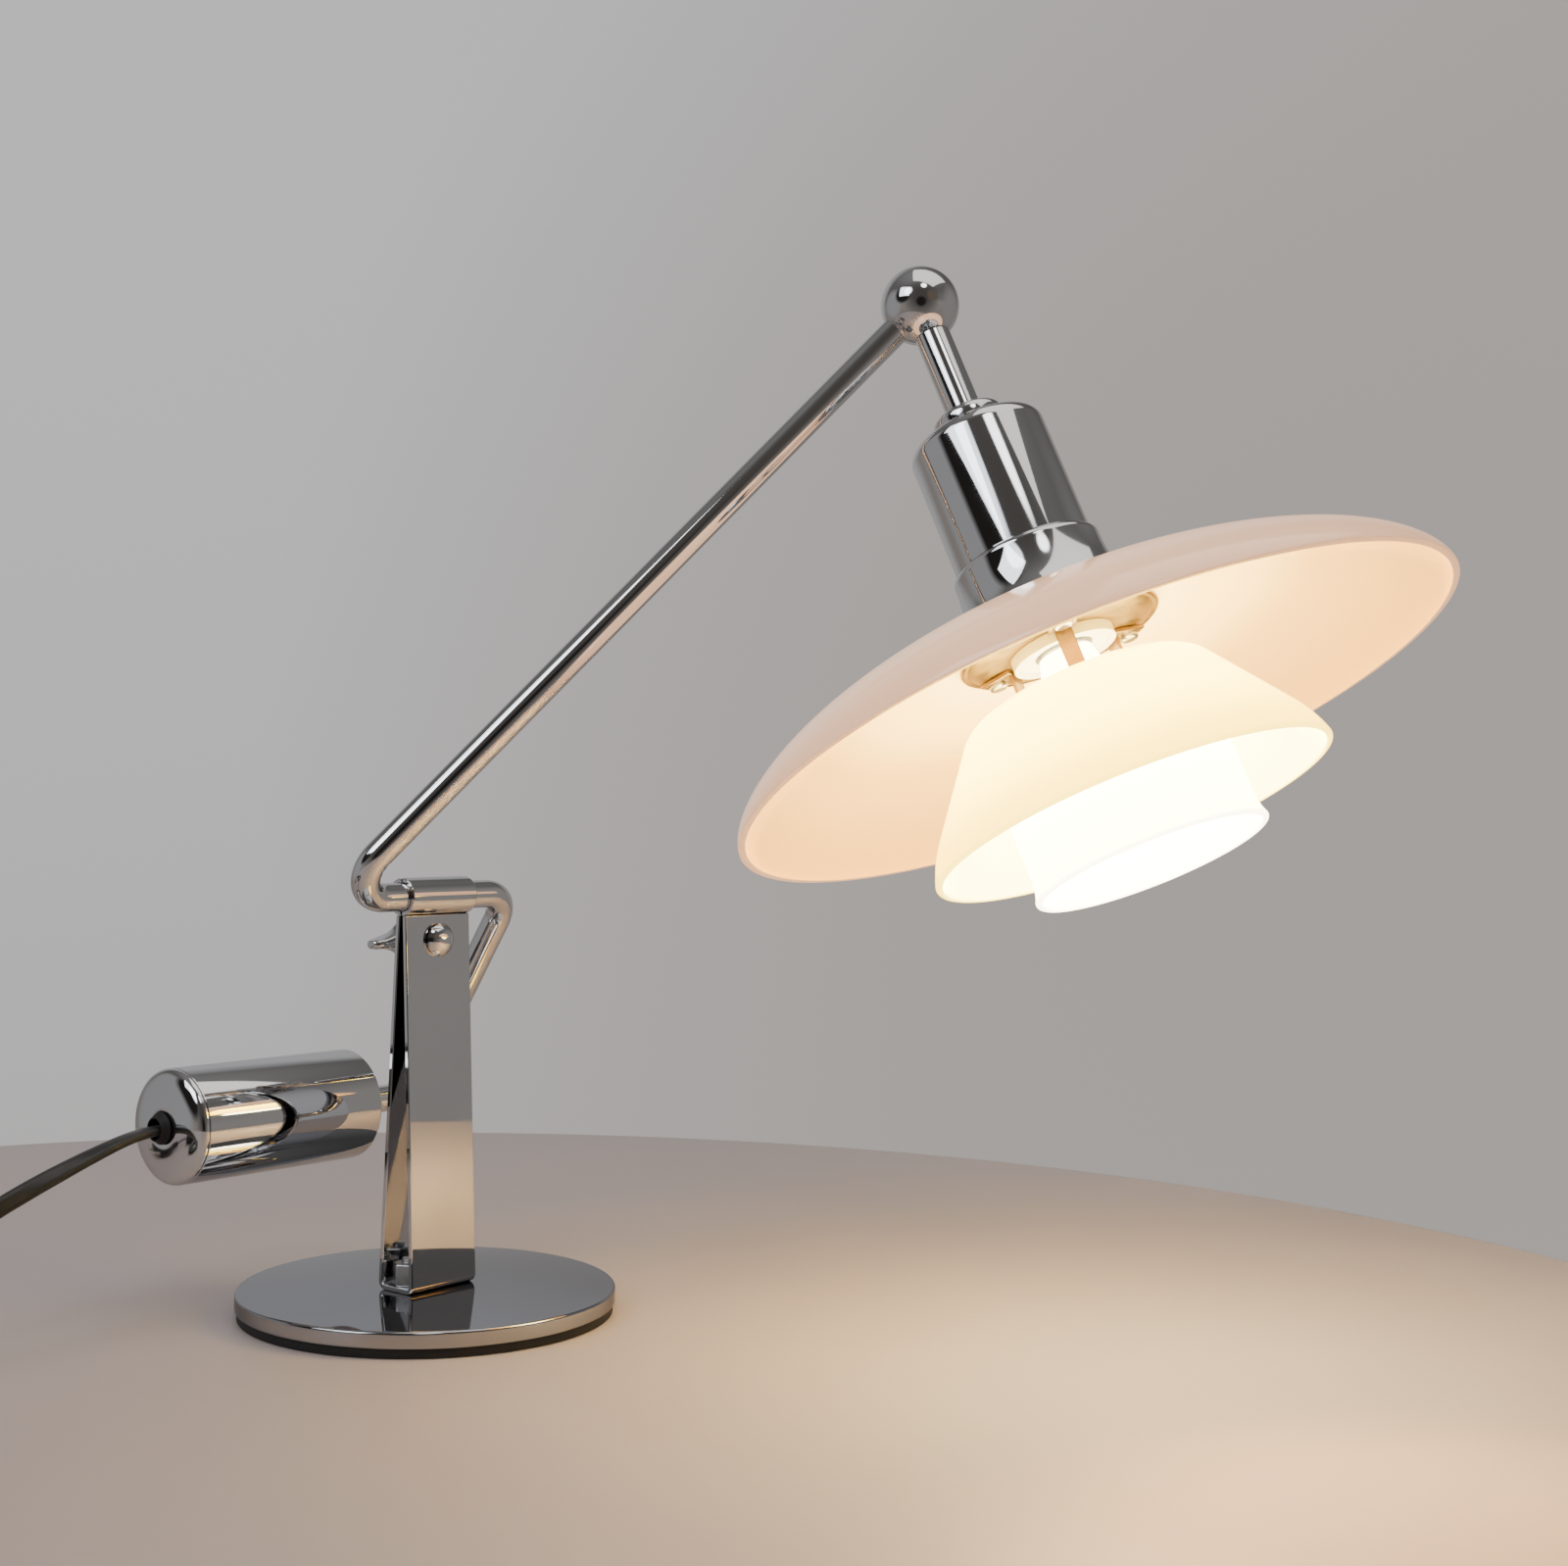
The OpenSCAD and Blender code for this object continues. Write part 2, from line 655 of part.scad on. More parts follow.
module cap_foot() {
    n = 16;
    seam = cap_end + gap;
    tuck_r = cap_r - cap_wall - fit;
    outer = [for (i = [0 : n]) [flare_r(i / n), seam + 1 + (flare_h - 1 - gap) * i / n]];
    inner = [for (i = [n : -1 : 0])
        [flare_r(i / n) - cap_wall - 1, seam + 1 + (flare_h - 1 - gap) * i / n]];
    color("silver") head_place() turned(concat([[tuck_r, cap_end - 3], [tuck_r, seam],
        [cap_r + 0.6, seam]], outer, inner, [[tuck_r - cap_wall, seam + 1],
        [tuck_r - cap_wall, cap_end - 3]]));
}

module holder_cup() {
    r = holder_d / 2;
    s0 = holder_end - holder_len;
    color("ivory") head_place() difference() {
        union() {
            ring(0, r, s0, holder_end);
            ring(0, cap_r - cap_wall - 0.2, s0, s0 + 4);
        }
        cylinder_from(8.2, -holder_end - 1, -s0 - 12);
        cylinder_from(core_cable_d / 2 + 0.2, -holder_end, -s0 + 1);
    }
}

module holder_ring() {
    s0 = plate_s + plate_t + gap;
    color("ivory") head_place() ring(holder_d / 2 + fit, holder_d / 2 + 1.4, s0, s0 + 3);
}

module holder_contact() {
    s0 = holder_end - holder_len + 12;
    color("goldenrod") head_place() {
        ring(core_cable_d / 2 + 0.6, 6, s0 + gap, s0 + 1);
        ring(7.4, 8.1, s0 + 3, holder_end - 3);
    }
}

module bulb_cap() {
    s0 = holder_end - holder_len + 16;
    color("silver") head_place() turned([[0, s0], [3, s0], [4.5, s0 + 2], [7, s0 + 4],
        [7, holder_end + 1], [0, holder_end + 1]]);
}

module bulb_glass() {
    r = bulb_d / 2;
    s0 = holder_end + 1 + gap;
    color("white") head_place() turned(concat([[0, s0], [7.4, s0], [8.4, s0 + 5], [r - 1.5, s0 + 12],
        [r, s0 + 18]], [for (p = arc(0, 0, r, 0, 90, 10)) [p[0], s0 + bulb_len - r + p[1]]]));
}

module neck_gasket() {
    color("white") head_place()
        ring(neck_r, gasket_r, under_glass(gasket_r) + gap, plate_s - gap);
}

module gallery_plate() {
    color("goldenrod") head_place() difference() {
        union() {
            ring(holder_d / 2 + 0.3, plate_r, plate_s, plate_s + plate_t);
            ring(plate_r - 1.2, plate_r, under_glass(plate_r) + gap, plate_s + plate_t);
        }
        leg_screw_holes();
    }
}

module leg_screw_holes() {
    for (a = leg_angles) rotate([0, 0, a]) translate([leg_r + leg_t + 5, 0, -plate_s - plate_t - leg_t - 1])
        cylinder(d = 3.3, h = plate_t + leg_t + 2);
}

module shade_legs() {
    root_s = plate_s + plate_t + gap / 2;
    mid_tab = mid_s + glass_t + gap + 0.6;
    low_tab = low_s + glass_t + gap + 0.3;
    color("silver") head_place() difference() {
        for (a = leg_angles) rotate([0, 0, a]) {
            translate([leg_r, -leg_w / 2, -low_tab - tab_h]) cube([leg_t, leg_w, low_tab + tab_h - root_s]);
            translate([leg_r, -foot_w / 2, -root_s - leg_t]) cube([leg_t + 9, foot_w, leg_t]);
            for (s = [mid_tab, low_tab]) translate([leg_r, -leg_w / 2, -s - tab_h])
                cube([tab_reach - leg_r, leg_w, tab_h]);
        }
        leg_screw_holes();
    }
}

module leg_screws() {
    root_s = plate_s + plate_t + gap / 2;
    color("silver") head_place() for (a = leg_angles) rotate([0, 0, a])
        translate([leg_r + leg_t + 5, 0, 0]) {
            cylinder_from(1.6, -root_s - leg_t - eps, -plate_s);
            cylinder_from(2.7, -root_s - leg_t - 1.6, -root_s - leg_t);
        }
}

// the top shade's outline: a flat dome of rim radius r and depth h, at angle a up the curve
function dome(r, h, a) = [r * pow(cos(a), dome_p), rim_top - h * pow(sin(a), dome_q)];

module shade_top() {
    r = top_d / 2;
    n = 22;
    lip = glass_t / 2;
    a_neck = acos(pow(neck_r / r, 1 / dome_p));
    a_in = acos(pow(neck_r / (r - glass_t), 1 / dome_p));
    outer = [for (i = [1 : n]) dome(r, top_h, a_neck * i / n)];
    inner = [for (i = [n : -1 : 1]) dome(r - glass_t, top_h - glass_t, a_in * i / n)];
    color("linen") head_place() turned(concat(inner, [for (p = arc(r - lip, rim_top, lip, 180, 0, 8)) p],
        outer));
}

// the middle shade's outline pulled in by d: a short bulge at the rim, a straight flank, a shoulder
function mid_outline(d) =
    let (r = mid_d / 2, h = mid_h, flank = 35, bulge = 35, round_r = 10,
         bulge_x = r - bulge * cos(15), bulge_y = bulge * sin(15),
         bulge_end = [bulge_x + bulge * cos(flank), -bulge_y + bulge * sin(flank)],
         shoulder_y = h - round_r,
         touch_y = shoulder_y + round_r * sin(flank),
         touch_x = bulge_end[0] - (touch_y - bulge_end[1]) * tan(flank),
         shoulder_x = touch_x - round_r * cos(flank))
    concat([for (p = arc(bulge_x, -bulge_y, bulge - d, asin(bulge_y / (bulge - d)), flank, 6)) p],
           arc(shoulder_x, shoulder_y, round_r - d, flank, 90, 8), [[neck_r, h - d]]);

module shade_middle() {
    lip = glass_t / 2;
    outer = [for (p = mid_outline(0)) [p[0], rim_mid - p[1]]];
    pulled = [for (p = mid_outline(glass_t)) [p[0], rim_mid - p[1]]];
    n = len(pulled);
    inner = [for (i = [n - 1 : -1 : 0]) pulled[i]];
    color("linen") head_place() turned(concat(inner,
        arc(mid_d / 2 - lip, rim_mid, lip, 170, 10, 6), outer));
}

module shade_bottom() {
    r = low_d / 2;
    flank_r = r - 1.5;
    round_r = 9;
    lip = glass_t / 2;
    flare = [[0, r], [1.5, r - 0.7], [3.5, r - 1.25], [6, flank_r]];
    shoulder = arc(flank_r - round_r, low_h - round_r, round_r, 0, 90, 8);
    in_shoulder = arc(flank_r - round_r, low_h - round_r, round_r - glass_t, 90, 0, 8);
    outer = concat([for (p = flare) [p[1], p[0]]], shoulder, [[neck_r, low_h]]);
    inner = concat([[neck_r, low_h - glass_t]], in_shoulder,
        [for (i = [3 : -1 : 0]) [flare[i][1] - glass_t, flare[i][0]]]);
    color("linen") head_place() turned([for (p = concat(inner, arc(r - lip, 0, lip, 190, 350, 6), outer))
        [p[0], rim_low - p[1]]]);
}

// ---------- cord, switch and plug ----------

module cord() {
    color("black") sweep(CORD, cord_w, cord_t);
}

module cord_coil() {
    half = cord_w * coil_wide / 2;
    tall = cord_t * coil_layers + 0.2;
    color("black") translate([coil_x, coil_y, 0]) rotate_extrude()
        translate([coil_r - half, 0.1]) square([2 * half, tall]);
}

module cord_tail() {
    color("black") sweep(TAIL, cord_w, cord_t);
}

module cord_lead() {
    color("black") sweep(LEAD, cord_w, cord_t);
}

// the switch's outline seen from above, its length along y
module switch_plan(inset) {
    w = switch_w / 2 - inset;
    y0 = switch_y + inset;
    y1 = switch_y + switch_len - inset;
    r = switch_r - inset;
    polygon(concat(arc(w - r, y0 + r, r, -90, 0), arc(w - r, y1 - r, r, 0, 90),
        arc(-w + r, y1 - r, r, 90, 180), arc(-w + r, y0 + r, r, 180, 270)));
}

module switch_place() {
    translate([switch_x, 0, 0]) children();
}

module switch_base() {
    color("black") switch_place() difference() {
        translate([0, 0, 0.1]) linear_extrude(switch_split - 0.1) switch_plan(0);
        translate([0, 0, 1.8]) linear_extrude(switch_split) switch_plan(1.8);
        cord_slots();
        switch_screw_holes();
    }
}

module switch_screw_holes() {
    for (y = [switch_y + 9, switch_y + switch_len - 9]) translate([0, y, -1])
        cylinder(d = 3, h = 4);
}

module switch_cover() {
    color("black") switch_place() difference() {
        translate([0, 0, switch_split + gap / 2]) linear_extrude(switch_h - switch_split - gap / 2)
            switch_plan(0);
        translate([0, 0, switch_split - 1]) linear_extrude(switch_h - switch_split - 0.8)
            switch_plan(1.8);
        translate([0, switch_y + switch_len / 2, switch_h]) cube([10.6, 16.6, 6], center = true);
        cord_slots();
    }
}

// the openings at both ends of the switch that hold the cord
module cord_slots() {
    for (y = [switch_y, switch_y + switch_len]) translate([0, y, switch_split - 0.3])
        cube([cord_w + 0.4, 6, cord_t + 0.8], center = true);
}

// places its children on the rocker's pivot, z along +X and x along the switch
module rocker_place() {
    switch_place() translate([0, switch_y + switch_len / 2, switch_h - 2]) rotate([90, 0, 90]) children();
}

module switch_rocker() {
    half = 7.4;
    color("dimgray") rocker_place() rotate([0, 0, -rocker_tilt]) translate([0, 0, -4.9]) difference() {
        linear_extrude(9.8) polygon([[-half, 2.6], [-half, -0.4], [-4.5, -2.2], [4.5, -2.2],
            [half, -0.4], [half, 2.6], [0, 1.7]]);
        translate([0, 0, -1]) cylinder(r = rocker_pin_r + fit, h = 12);
    }
}

module rocker_pin() {
    color("silver") rocker_place() translate([0, 0, -10.1]) cylinder(r = rocker_pin_r, h = 20.2);
}

module switch_screws() {
    color("silver") switch_place() for (y = [switch_y + 9, switch_y + switch_len - 9])
        translate([0, y, 0.3]) cylinder(d = 2.9, h = 6);
}

module plug_body() {
    r = 4;
    w = plug_w / 2;
    color("black") translate([plug_x, plug_y, 0.1]) difference() {
        linear_extrude(plug_h - 0.1) polygon(concat([[0, 4.4]], [[0, -4.4]], [[9, -w + 3]],
            arc(15, -w + r, r, 240, 270, 3), arc(plug_len - 2, -w + 2, 2, -90, 0, 4),
            arc(plug_len - 2, w - 2, 2, 0, 90, 4), arc(15, w - r, r, 90, 120, 3), [[9, w - 3]]));
        for (y = [-pin_gap / 2, pin_gap / 2]) translate([plug_len - 8, y, plug_z - 0.1])
            rotate([0, 90, 0]) cylinder(d = pin_d, h = 9);
    }
}

module plug_pins() {
    color("silver") for (y = [-pin_gap / 2, pin_gap / 2])
        translate([plug_x + plug_len - 8 + eps, plug_y + y, plug_z]) rotate([0, 90, 0]) {
            cylinder(d = pin_d, h = pin_len + 7);
            translate([0, 0, pin_len + 7]) cylinder(r1 = pin_d / 2, r2 = pin_d / 4, h = 1);
        }
}

module plug_relief() {
    color("black") translate([plug_x - relief_len + gap, plug_y, plug_z]) rotate([0, 90, 0])
        difference() {
            cylinder(r1 = 3.4, r2 = 4.6, h = relief_len - 2 * gap);
            translate([0, 0, -1]) cylinder(d = 1, h = relief_len + 2);
        }
}

base_disc();
foot_pad();
base_bolts();
base_nuts();
stand_strip();
sleeve_front();
sleeve_back();
clamp_screw();
clamp_washer();
wing_nut();
arm_tube();
arm_cable();
swivel_ring();
weight_collar();
weight_core();
weight_shell();
weight_nut();
weight_cap();
cord_bush();
joint_ball();
stem();
stem_cable();
stem_boss();
socket_cap();
cap_foot();
holder_cup();
holder_ring();
holder_contact();
bulb_cap();
bulb_glass();
neck_gasket();
gallery_plate();
shade_legs();
leg_screws();
shade_top();
shade_middle();
shade_bottom();
cord();
cord_coil();
cord_tail();
cord_lead();
switch_base();
switch_cover();
switch_rocker();
rocker_pin();
switch_screws();
plug_body();
plug_pins();
plug_relief();
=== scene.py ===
import bpy
import bmesh
import json
import math
from math import sin, cos, tan, pi, radians, sqrt
from mathutils import Matrix, Vector

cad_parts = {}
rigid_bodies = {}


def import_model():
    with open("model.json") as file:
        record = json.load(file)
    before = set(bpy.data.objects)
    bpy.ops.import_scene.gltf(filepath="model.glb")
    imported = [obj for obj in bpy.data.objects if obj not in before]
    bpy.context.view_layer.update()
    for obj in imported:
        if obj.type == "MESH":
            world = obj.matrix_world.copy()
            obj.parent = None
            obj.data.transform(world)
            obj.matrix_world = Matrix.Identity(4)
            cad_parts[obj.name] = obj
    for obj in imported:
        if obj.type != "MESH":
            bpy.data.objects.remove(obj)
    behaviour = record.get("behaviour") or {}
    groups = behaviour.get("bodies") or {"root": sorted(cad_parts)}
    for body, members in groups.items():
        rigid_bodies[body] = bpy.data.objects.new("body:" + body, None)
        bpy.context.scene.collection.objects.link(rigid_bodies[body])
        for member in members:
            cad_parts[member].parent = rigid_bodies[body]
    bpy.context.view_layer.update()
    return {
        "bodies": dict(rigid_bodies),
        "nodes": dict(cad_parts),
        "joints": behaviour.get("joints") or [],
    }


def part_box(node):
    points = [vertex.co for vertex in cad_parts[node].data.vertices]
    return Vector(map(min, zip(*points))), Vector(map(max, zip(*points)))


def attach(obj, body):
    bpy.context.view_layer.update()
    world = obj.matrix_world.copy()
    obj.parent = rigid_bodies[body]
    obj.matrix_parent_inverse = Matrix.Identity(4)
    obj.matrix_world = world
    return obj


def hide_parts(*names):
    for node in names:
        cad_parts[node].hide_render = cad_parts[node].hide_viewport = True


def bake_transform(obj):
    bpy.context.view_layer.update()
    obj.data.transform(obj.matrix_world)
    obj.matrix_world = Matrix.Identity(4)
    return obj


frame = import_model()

mm = 0.001
joints = {j["name"]: j for j in frame["joints"]}
nodes = frame["nodes"]


# camera and stage

cameraView = {
    "place": (-0.41907, -0.45434, 0.14864),
    "azimuth": -51.87,
    "elevation": -0.16,
    "roll": 0.85,
    "lens": 49.555,
}


def makeCamera(v):
    az = radians(v["azimuth"])
    el = radians(v["elevation"])
    back = Vector((sin(az) * cos(el), -cos(az) * cos(el), sin(el)))
    right = Vector((cos(az), sin(az), 0))
    up = back.cross(right)
    roll = radians(v["roll"])
    tiltedRight = right * cos(roll) + up * sin(roll)
    tiltedUp = up * cos(roll) - right * sin(roll)
    turn = Matrix((tiltedRight, tiltedUp, back)).transposed()
    data = bpy.data.cameras.new("lampCamera")
    data.lens = v["lens"]
    data.sensor_width = 36
    data.sensor_fit = "HORIZONTAL"
    data.clip_start = 0.01
    camera = bpy.data.objects.new("lampCamera", data)
    bpy.context.scene.collection.objects.link(camera)
    camera.matrix_world = Matrix.Translation(v["place"]) @ turn.to_4x4()
    bpy.context.scene.camera = camera
    return camera


camera = makeCamera(cameraView)
print("camera set")


# mesh helpers

def addObject(name, mesh, material=None):
    piece = bpy.data.objects.new(name, mesh)
    bpy.context.scene.collection.objects.link(piece)
    if material:
        mesh.materials.append(material)
    return piece


def smooth(mesh, sharpAngle=38):
    mesh.polygons.foreach_set("use_smooth", [True] * len(mesh.polygons))
    mesh.set_sharp_from_angle(angle=radians(sharpAngle))
    mesh.update()


def meshFrom(name, verts, faces, sharpAngle=38, merge=None):
    mesh = bpy.data.meshes.new(name)
    mesh.from_pydata([tuple(v) for v in verts], [], faces)
    work = bmesh.new()
    work.from_mesh(mesh)
    if merge:
        bmesh.ops.remove_doubles(work, verts=work.verts, dist=merge)
    bmesh.ops.recalc_face_normals(work, faces=work.faces)
    work.to_mesh(mesh)
    work.free()
    smooth(mesh, sharpAngle)
    return mesh


def arc(cx, cy, r, a0, a1, n=8):
    # points of an arc, angles in degrees
    steps = [radians(a0 + (a1 - a0) * i / n) for i in range(n + 1)]
    return [(cx + r * cos(a), cy + r * sin(a)) for a in steps]


def turned(name, outline, place, segments=128, closed=True, sharpAngle=38):
    # turns an outline of (radius, height) in mm round the local z axis of place
    verts = []
    for k in range(segments):
        a = 2 * pi * k / segments
        verts += [place @ (Vector((r * cos(a), r * sin(a), z)) * mm) for r, z in outline]
    n = len(outline)
    faces = []
    for k in range(segments):
        here = k * n
        there = (k + 1) % segments * n
        for i in range(n if closed else n - 1):
            j = (i + 1) % n
            faces.append((here + i, there + i, there + j, here + j))
    return meshFrom(name, verts, faces, sharpAngle, merge=1e-6)


def skinFaces(rings, n, closed=True):
    # quads between rings of n points each, and a cap on both ends when closed
    faces = [(i * n + k, i * n + (k + 1) % n, (i + 1) * n + (k + 1) % n, (i + 1) * n + k)
             for i in range(rings - 1) for k in range(n)]
    if closed:
        faces.append(tuple(range(n - 1, -1, -1)))
        faces.append(tuple((rings - 1) * n + k for k in range(n)))
    return faces


def swept(name, path, section, ups):
    # sweeps a section of (side, up) in metres along path; ups gives each ring's own up direction
    verts = []
    for i, p in enumerate(path):
        ahead = (path[min(i + 1, len(path) - 1)] - path[max(i - 1, 0)]).normalized()
        up = (ups[i] - ahead * ups[i].dot(ahead)).normalized()
        side = ahead.cross(up)
        verts += [p + side * a + up * b for a, b in section]
    return meshFrom(name, verts, skinFaces(len(path), len(section)), 50)


def bevelled(piece, width, segments=2, angle=40):
    edge = piece.modifiers.new("edge", "BEVEL")
    edge.width = width * mm
    edge.segments = segments
    edge.limit_method = "ANGLE"
    edge.angle_limit = radians(angle)
    return piece


def ringSection(rx, ry, sides):
    return [(rx * cos(2 * pi * k / sides), ry * sin(2 * pi * k / sides)) for k in range(sides)]


# cord: its route first, then its mesh

flex = {
    "width": 5.0 * mm,
    "thickness": 3.2 * mm,
    "groove": 0.32 * mm,
    "length": 1.8,
    "coilMiddle": 28.0,
    "turnsInLayer": 4,
    "quarterTurns": 33,
}
freeRoute = [(-60.7, 41, 53.3), (-66, 41, 52.9), (-72, 41, 51.8), (-80, 41, 49.5), (-90, 41, 46.2),
             (-100, 41, 42.6), (-110, 41, 38.6), (-120, 41, 34), (-130, 41, 28.8), (-140, 41, 23),
             (-150, 41, 17.2), (-160, 41, 12), (-170, 41, 7.8), (-180, 41, 4.8), (-190, 41, 2.9),
             (-200, 41, 1.9)]
tailRoute = [(-241.5, 80, 4.8), (-241.5, 84, 4.6), (-241.5, 92, 5.2), (-241.5, 99, 6.6), (-241.5, 106, 7.2),
             (-241.5, 113, 7.3), (-241.5, 125, 7.3), (-241.5, 137, 7.3), (-241.5, 149, 7.3),
             (-241.5, 161, 7.3), (-241.5, 168, 7), (-239.5, 177, 6.6), (-234, 185.5, 6.4),
             (-225.5, 191, 6.4), (-215.5, 193, 6.5), (-206, 193, 6.5), (-196, 193, 6.5), (-188, 193, 6.5)]


def coilRoute(f):
    # inward turns lie on the table, outward turns lie on them
    w = f["width"] / mm
    t = f["thickness"] / mm
    outer = f["coilMiddle"] + w * (f["turnsInLayer"] - 1) / 2
    middle = Vector((-206, 41 + outer, 0))
    perTurn = 40
    total = f["quarterTurns"] / 4
    half = f["turnsInLayer"]
    points = []
    for i in range(int(total * perTurn) + 1):
        turn = i / perTurn
        within = turn % half if turn < half else (turn - half) % half
        lane = int(within)
        step = min(1, max(0, (within - lane - 0.72) / 0.28))
        lane = min(lane + step * step * (3 - 2 * step), half - 1)
        if turn >= 2 * half:
            lane = half - 1
        r = outer - w * lane if turn < half else outer - w * (half - 1) + w * lane
        rise = min(1, max(0, (turn - half + 0.3) / 0.3))
        z = t / 2 + 0.1 + (t + 0.05) * rise * rise * (3 - 2 * rise)
        a = -pi / 2 - 2 * pi * turn
        points.append(middle + Vector((r * cos(a), r * sin(a), z)))
    return points


def throughPoints(points, steps=4):
    # a smooth line through given points
    out = []
    n = len(points)
    for i in range(n - 1):
        p0, p1, p2, p3 = points[max(i - 1, 0)], points[i], points[i + 1], points[min(i + 2, n - 1)]
        for k in range(steps):
            t = k / steps
            out.append(0.5 * ((2 * p1) + (p2 - p0) * t + (2 * p0 - 5 * p1 + 4 * p2 - p3) * t * t
                              + (3 * p1 - p0 - 3 * p2 + p3) * t * t * t))
    out.append(points[-1])
    return out


def cordSection(f):
    # two round cores side by side under one sheath
    section = []
    sides = 20
    for k in range(sides):
        a = 2 * pi * k / sides
        pinch = f["groove"] * abs(sin(a)) ** 6
        section.append((f["width"] / 2 * cos(a), (f["thickness"] / 2 - pinch) * sin(a)))
    return section


cordPath = [p * mm for p in throughPoints([Vector(p) for p in freeRoute] + coilRoute(flex)[::2]
                                          + [Vector(p) for p in tailRoute], 3)]


def cordUps(path):
    # the flat side rolls over once on the free stretch and lies flat on the table
    ups = []
    run = 0
    for i, p in enumerate(path):
        run += (p - path[i - 1]).length if i else 0
        share = min(1, max(0, run / 0.125))
        roll = radians(75) * sin(pi * share) ** 2
        ups.append(Vector((0, -sin(roll), cos(roll))))
    return ups


cordMesh = swept("flexCord", cordPath, cordSection(flex), cordUps(cordPath))
flexCord = addObject("flexCord", cordMesh)
cordLength = sum((b - a).length for a, b in zip(cordPath, cordPath[1:]))
print(f"cord laid, {cordLength:.3f} m")


# materials

class Nodes:
    # a short way to build a node tree
    def __init__(self, tree):
        self.tree = tree

    def add(self, kind, **settings):
        node = self.tree.nodes.new(kind)
        for key, value in settings.items():
            if hasattr(node, key):
                setattr(node, key, value)
            else:
                node.inputs[key.replace("_", " ")].default_value = value
        return node

    def link(self, out, into):
        self.tree.links.new(out, into)

    def ramp(self, source, stops, interpolation="EASE"):
        node = self.tree.nodes.new("ShaderNodeValToRGB")
        node.color_ramp.interpolation = interpolation
        while len(node.color_ramp.elements) < len(stops):
            node.color_ramp.elements.new(0.5)
        for element, (at, colour) in zip(node.color_ramp.elements, stops):
            element.position = at
            element.color = (*colour, 1) if len(colour) == 3 else colour
        self.link(source, node.inputs["Fac"])
        return node.outputs["Color"]

    def scaled(self, vector, scale):
        node = self.add("ShaderNodeMapping")
        node.inputs["Scale"].default_value = scale
        self.link(vector, node.inputs["Vector"])
        return node.outputs["Vector"]

    def noise(self, vector, scale, detail=4, roughness=0.55):
        node = self.add("ShaderNodeTexNoise", Scale=scale, Detail=detail, Roughness=roughness)
        self.link(vector, node.inputs["Vector"])
        return node.outputs["Fac"]

    def span(self, source, low, high, toLow, toHigh):
        node = self.add("ShaderNodeMapRange")
        for socket, value in zip(("From Min", "From Max", "To Min", "To Max"), (low, high, toLow, toHigh)):
            node.inputs[socket].default_value = value
        self.link(source, node.inputs["Value"])
        return node.outputs["Result"]

    def bump(self, height, strength, distance, shader):
        node = self.add("ShaderNodeBump", Strength=strength, Distance=distance)
        self.link(height, node.inputs["Height"])
        self.link(node.outputs["Normal"], shader.inputs["Normal"])


def startMaterial(name, **sockets):
    material = bpy.data.materials.new(name)
    material.use_nodes = True
    tree = material.node_tree
    shader = tree.nodes["Principled BSDF"]
    for key, value in sockets.items():
        socket = shader.inputs[key.replace("_", " ")]
        socket.default_value = (*value, 1) if isinstance(value, tuple) and len(value) == 3 else value
    kit = Nodes(tree)
    place = kit.add("ShaderNodeTexCoord").outputs["Object"]
    return material, kit, shader, place


def chromeMaterial(name, tint, base, smudge, wipe=(1, 1, 1), edge=0.72):
    # mirror plating: a thin film of wiped smudges over a faintly wavy polish
    material, kit, shader, place = startMaterial(name, Metallic=1.0, Specular_Tint=(edge, edge, edge))
    stretched = kit.scaled(place, wipe)
    broad = kit.noise(stretched, 26, 5, 0.6)
    fine = kit.noise(stretched, 1300, 2, 0.5)
    mixed = kit.add("ShaderNodeMath", operation="MULTIPLY")
    kit.link(kit.span(broad, 0.42, 0.72, 0.0, 1.0), mixed.inputs[0])
    kit.link(kit.span(fine, 0.3, 0.7, 0.75, 1.0), mixed.inputs[1])
    kit.link(kit.span(mixed.outputs[0], 0, 1, base, base + smudge), shader.inputs["Roughness"])
    lowTint = tuple(c * 0.95 for c in tint)
    kit.link(kit.ramp(broad, [(0.3, lowTint), (0.75, tint)]), shader.inputs["Base Color"])
    kit.bump(broad, 0.01, 0.0006, shader)
    return material


def opalMaterial(name, body, glow, strength, nearGlow, farGlow, centre, roughness=0.16):
    # cased opal glass with a painted glow standing for the bulb's light through it: the glow fades with the
    # distance from the bulb
    material, kit, shader, place = startMaterial(
        name, Roughness=roughness, Coat_Weight=0.45, Coat_Roughness=0.06, IOR=1.5,
        Emission_Strength=strength)
    cloud = kit.noise(place, 14, 3, 0.5)
    pale = tuple(min(1, c * 1.03) for c in body)
    kit.link(kit.ramp(cloud, [(0.3, body), (0.7, pale)]), shader.inputs["Base Color"])
    far = kit.add("ShaderNodeVectorMath", operation="DISTANCE")
    kit.link(place, far.inputs[0])
    far.inputs[1].default_value = centre
    away = kit.span(far.outputs["Value"], nearGlow, farGlow, 0, 1)
    uneven = kit.add("ShaderNodeMath", operation="ADD")
    kit.link(away, uneven.inputs[0])
    kit.link(kit.span(cloud, 0, 1, -0.03, 0.03), uneven.inputs[1])
    kit.link(kit.ramp(uneven.outputs[0], glow, "EASE"), shader.inputs["Emission Color"])
    kit.bump(kit.noise(place, 60, 2, 0.4), 0.05, 0.0004, shader)
    return material


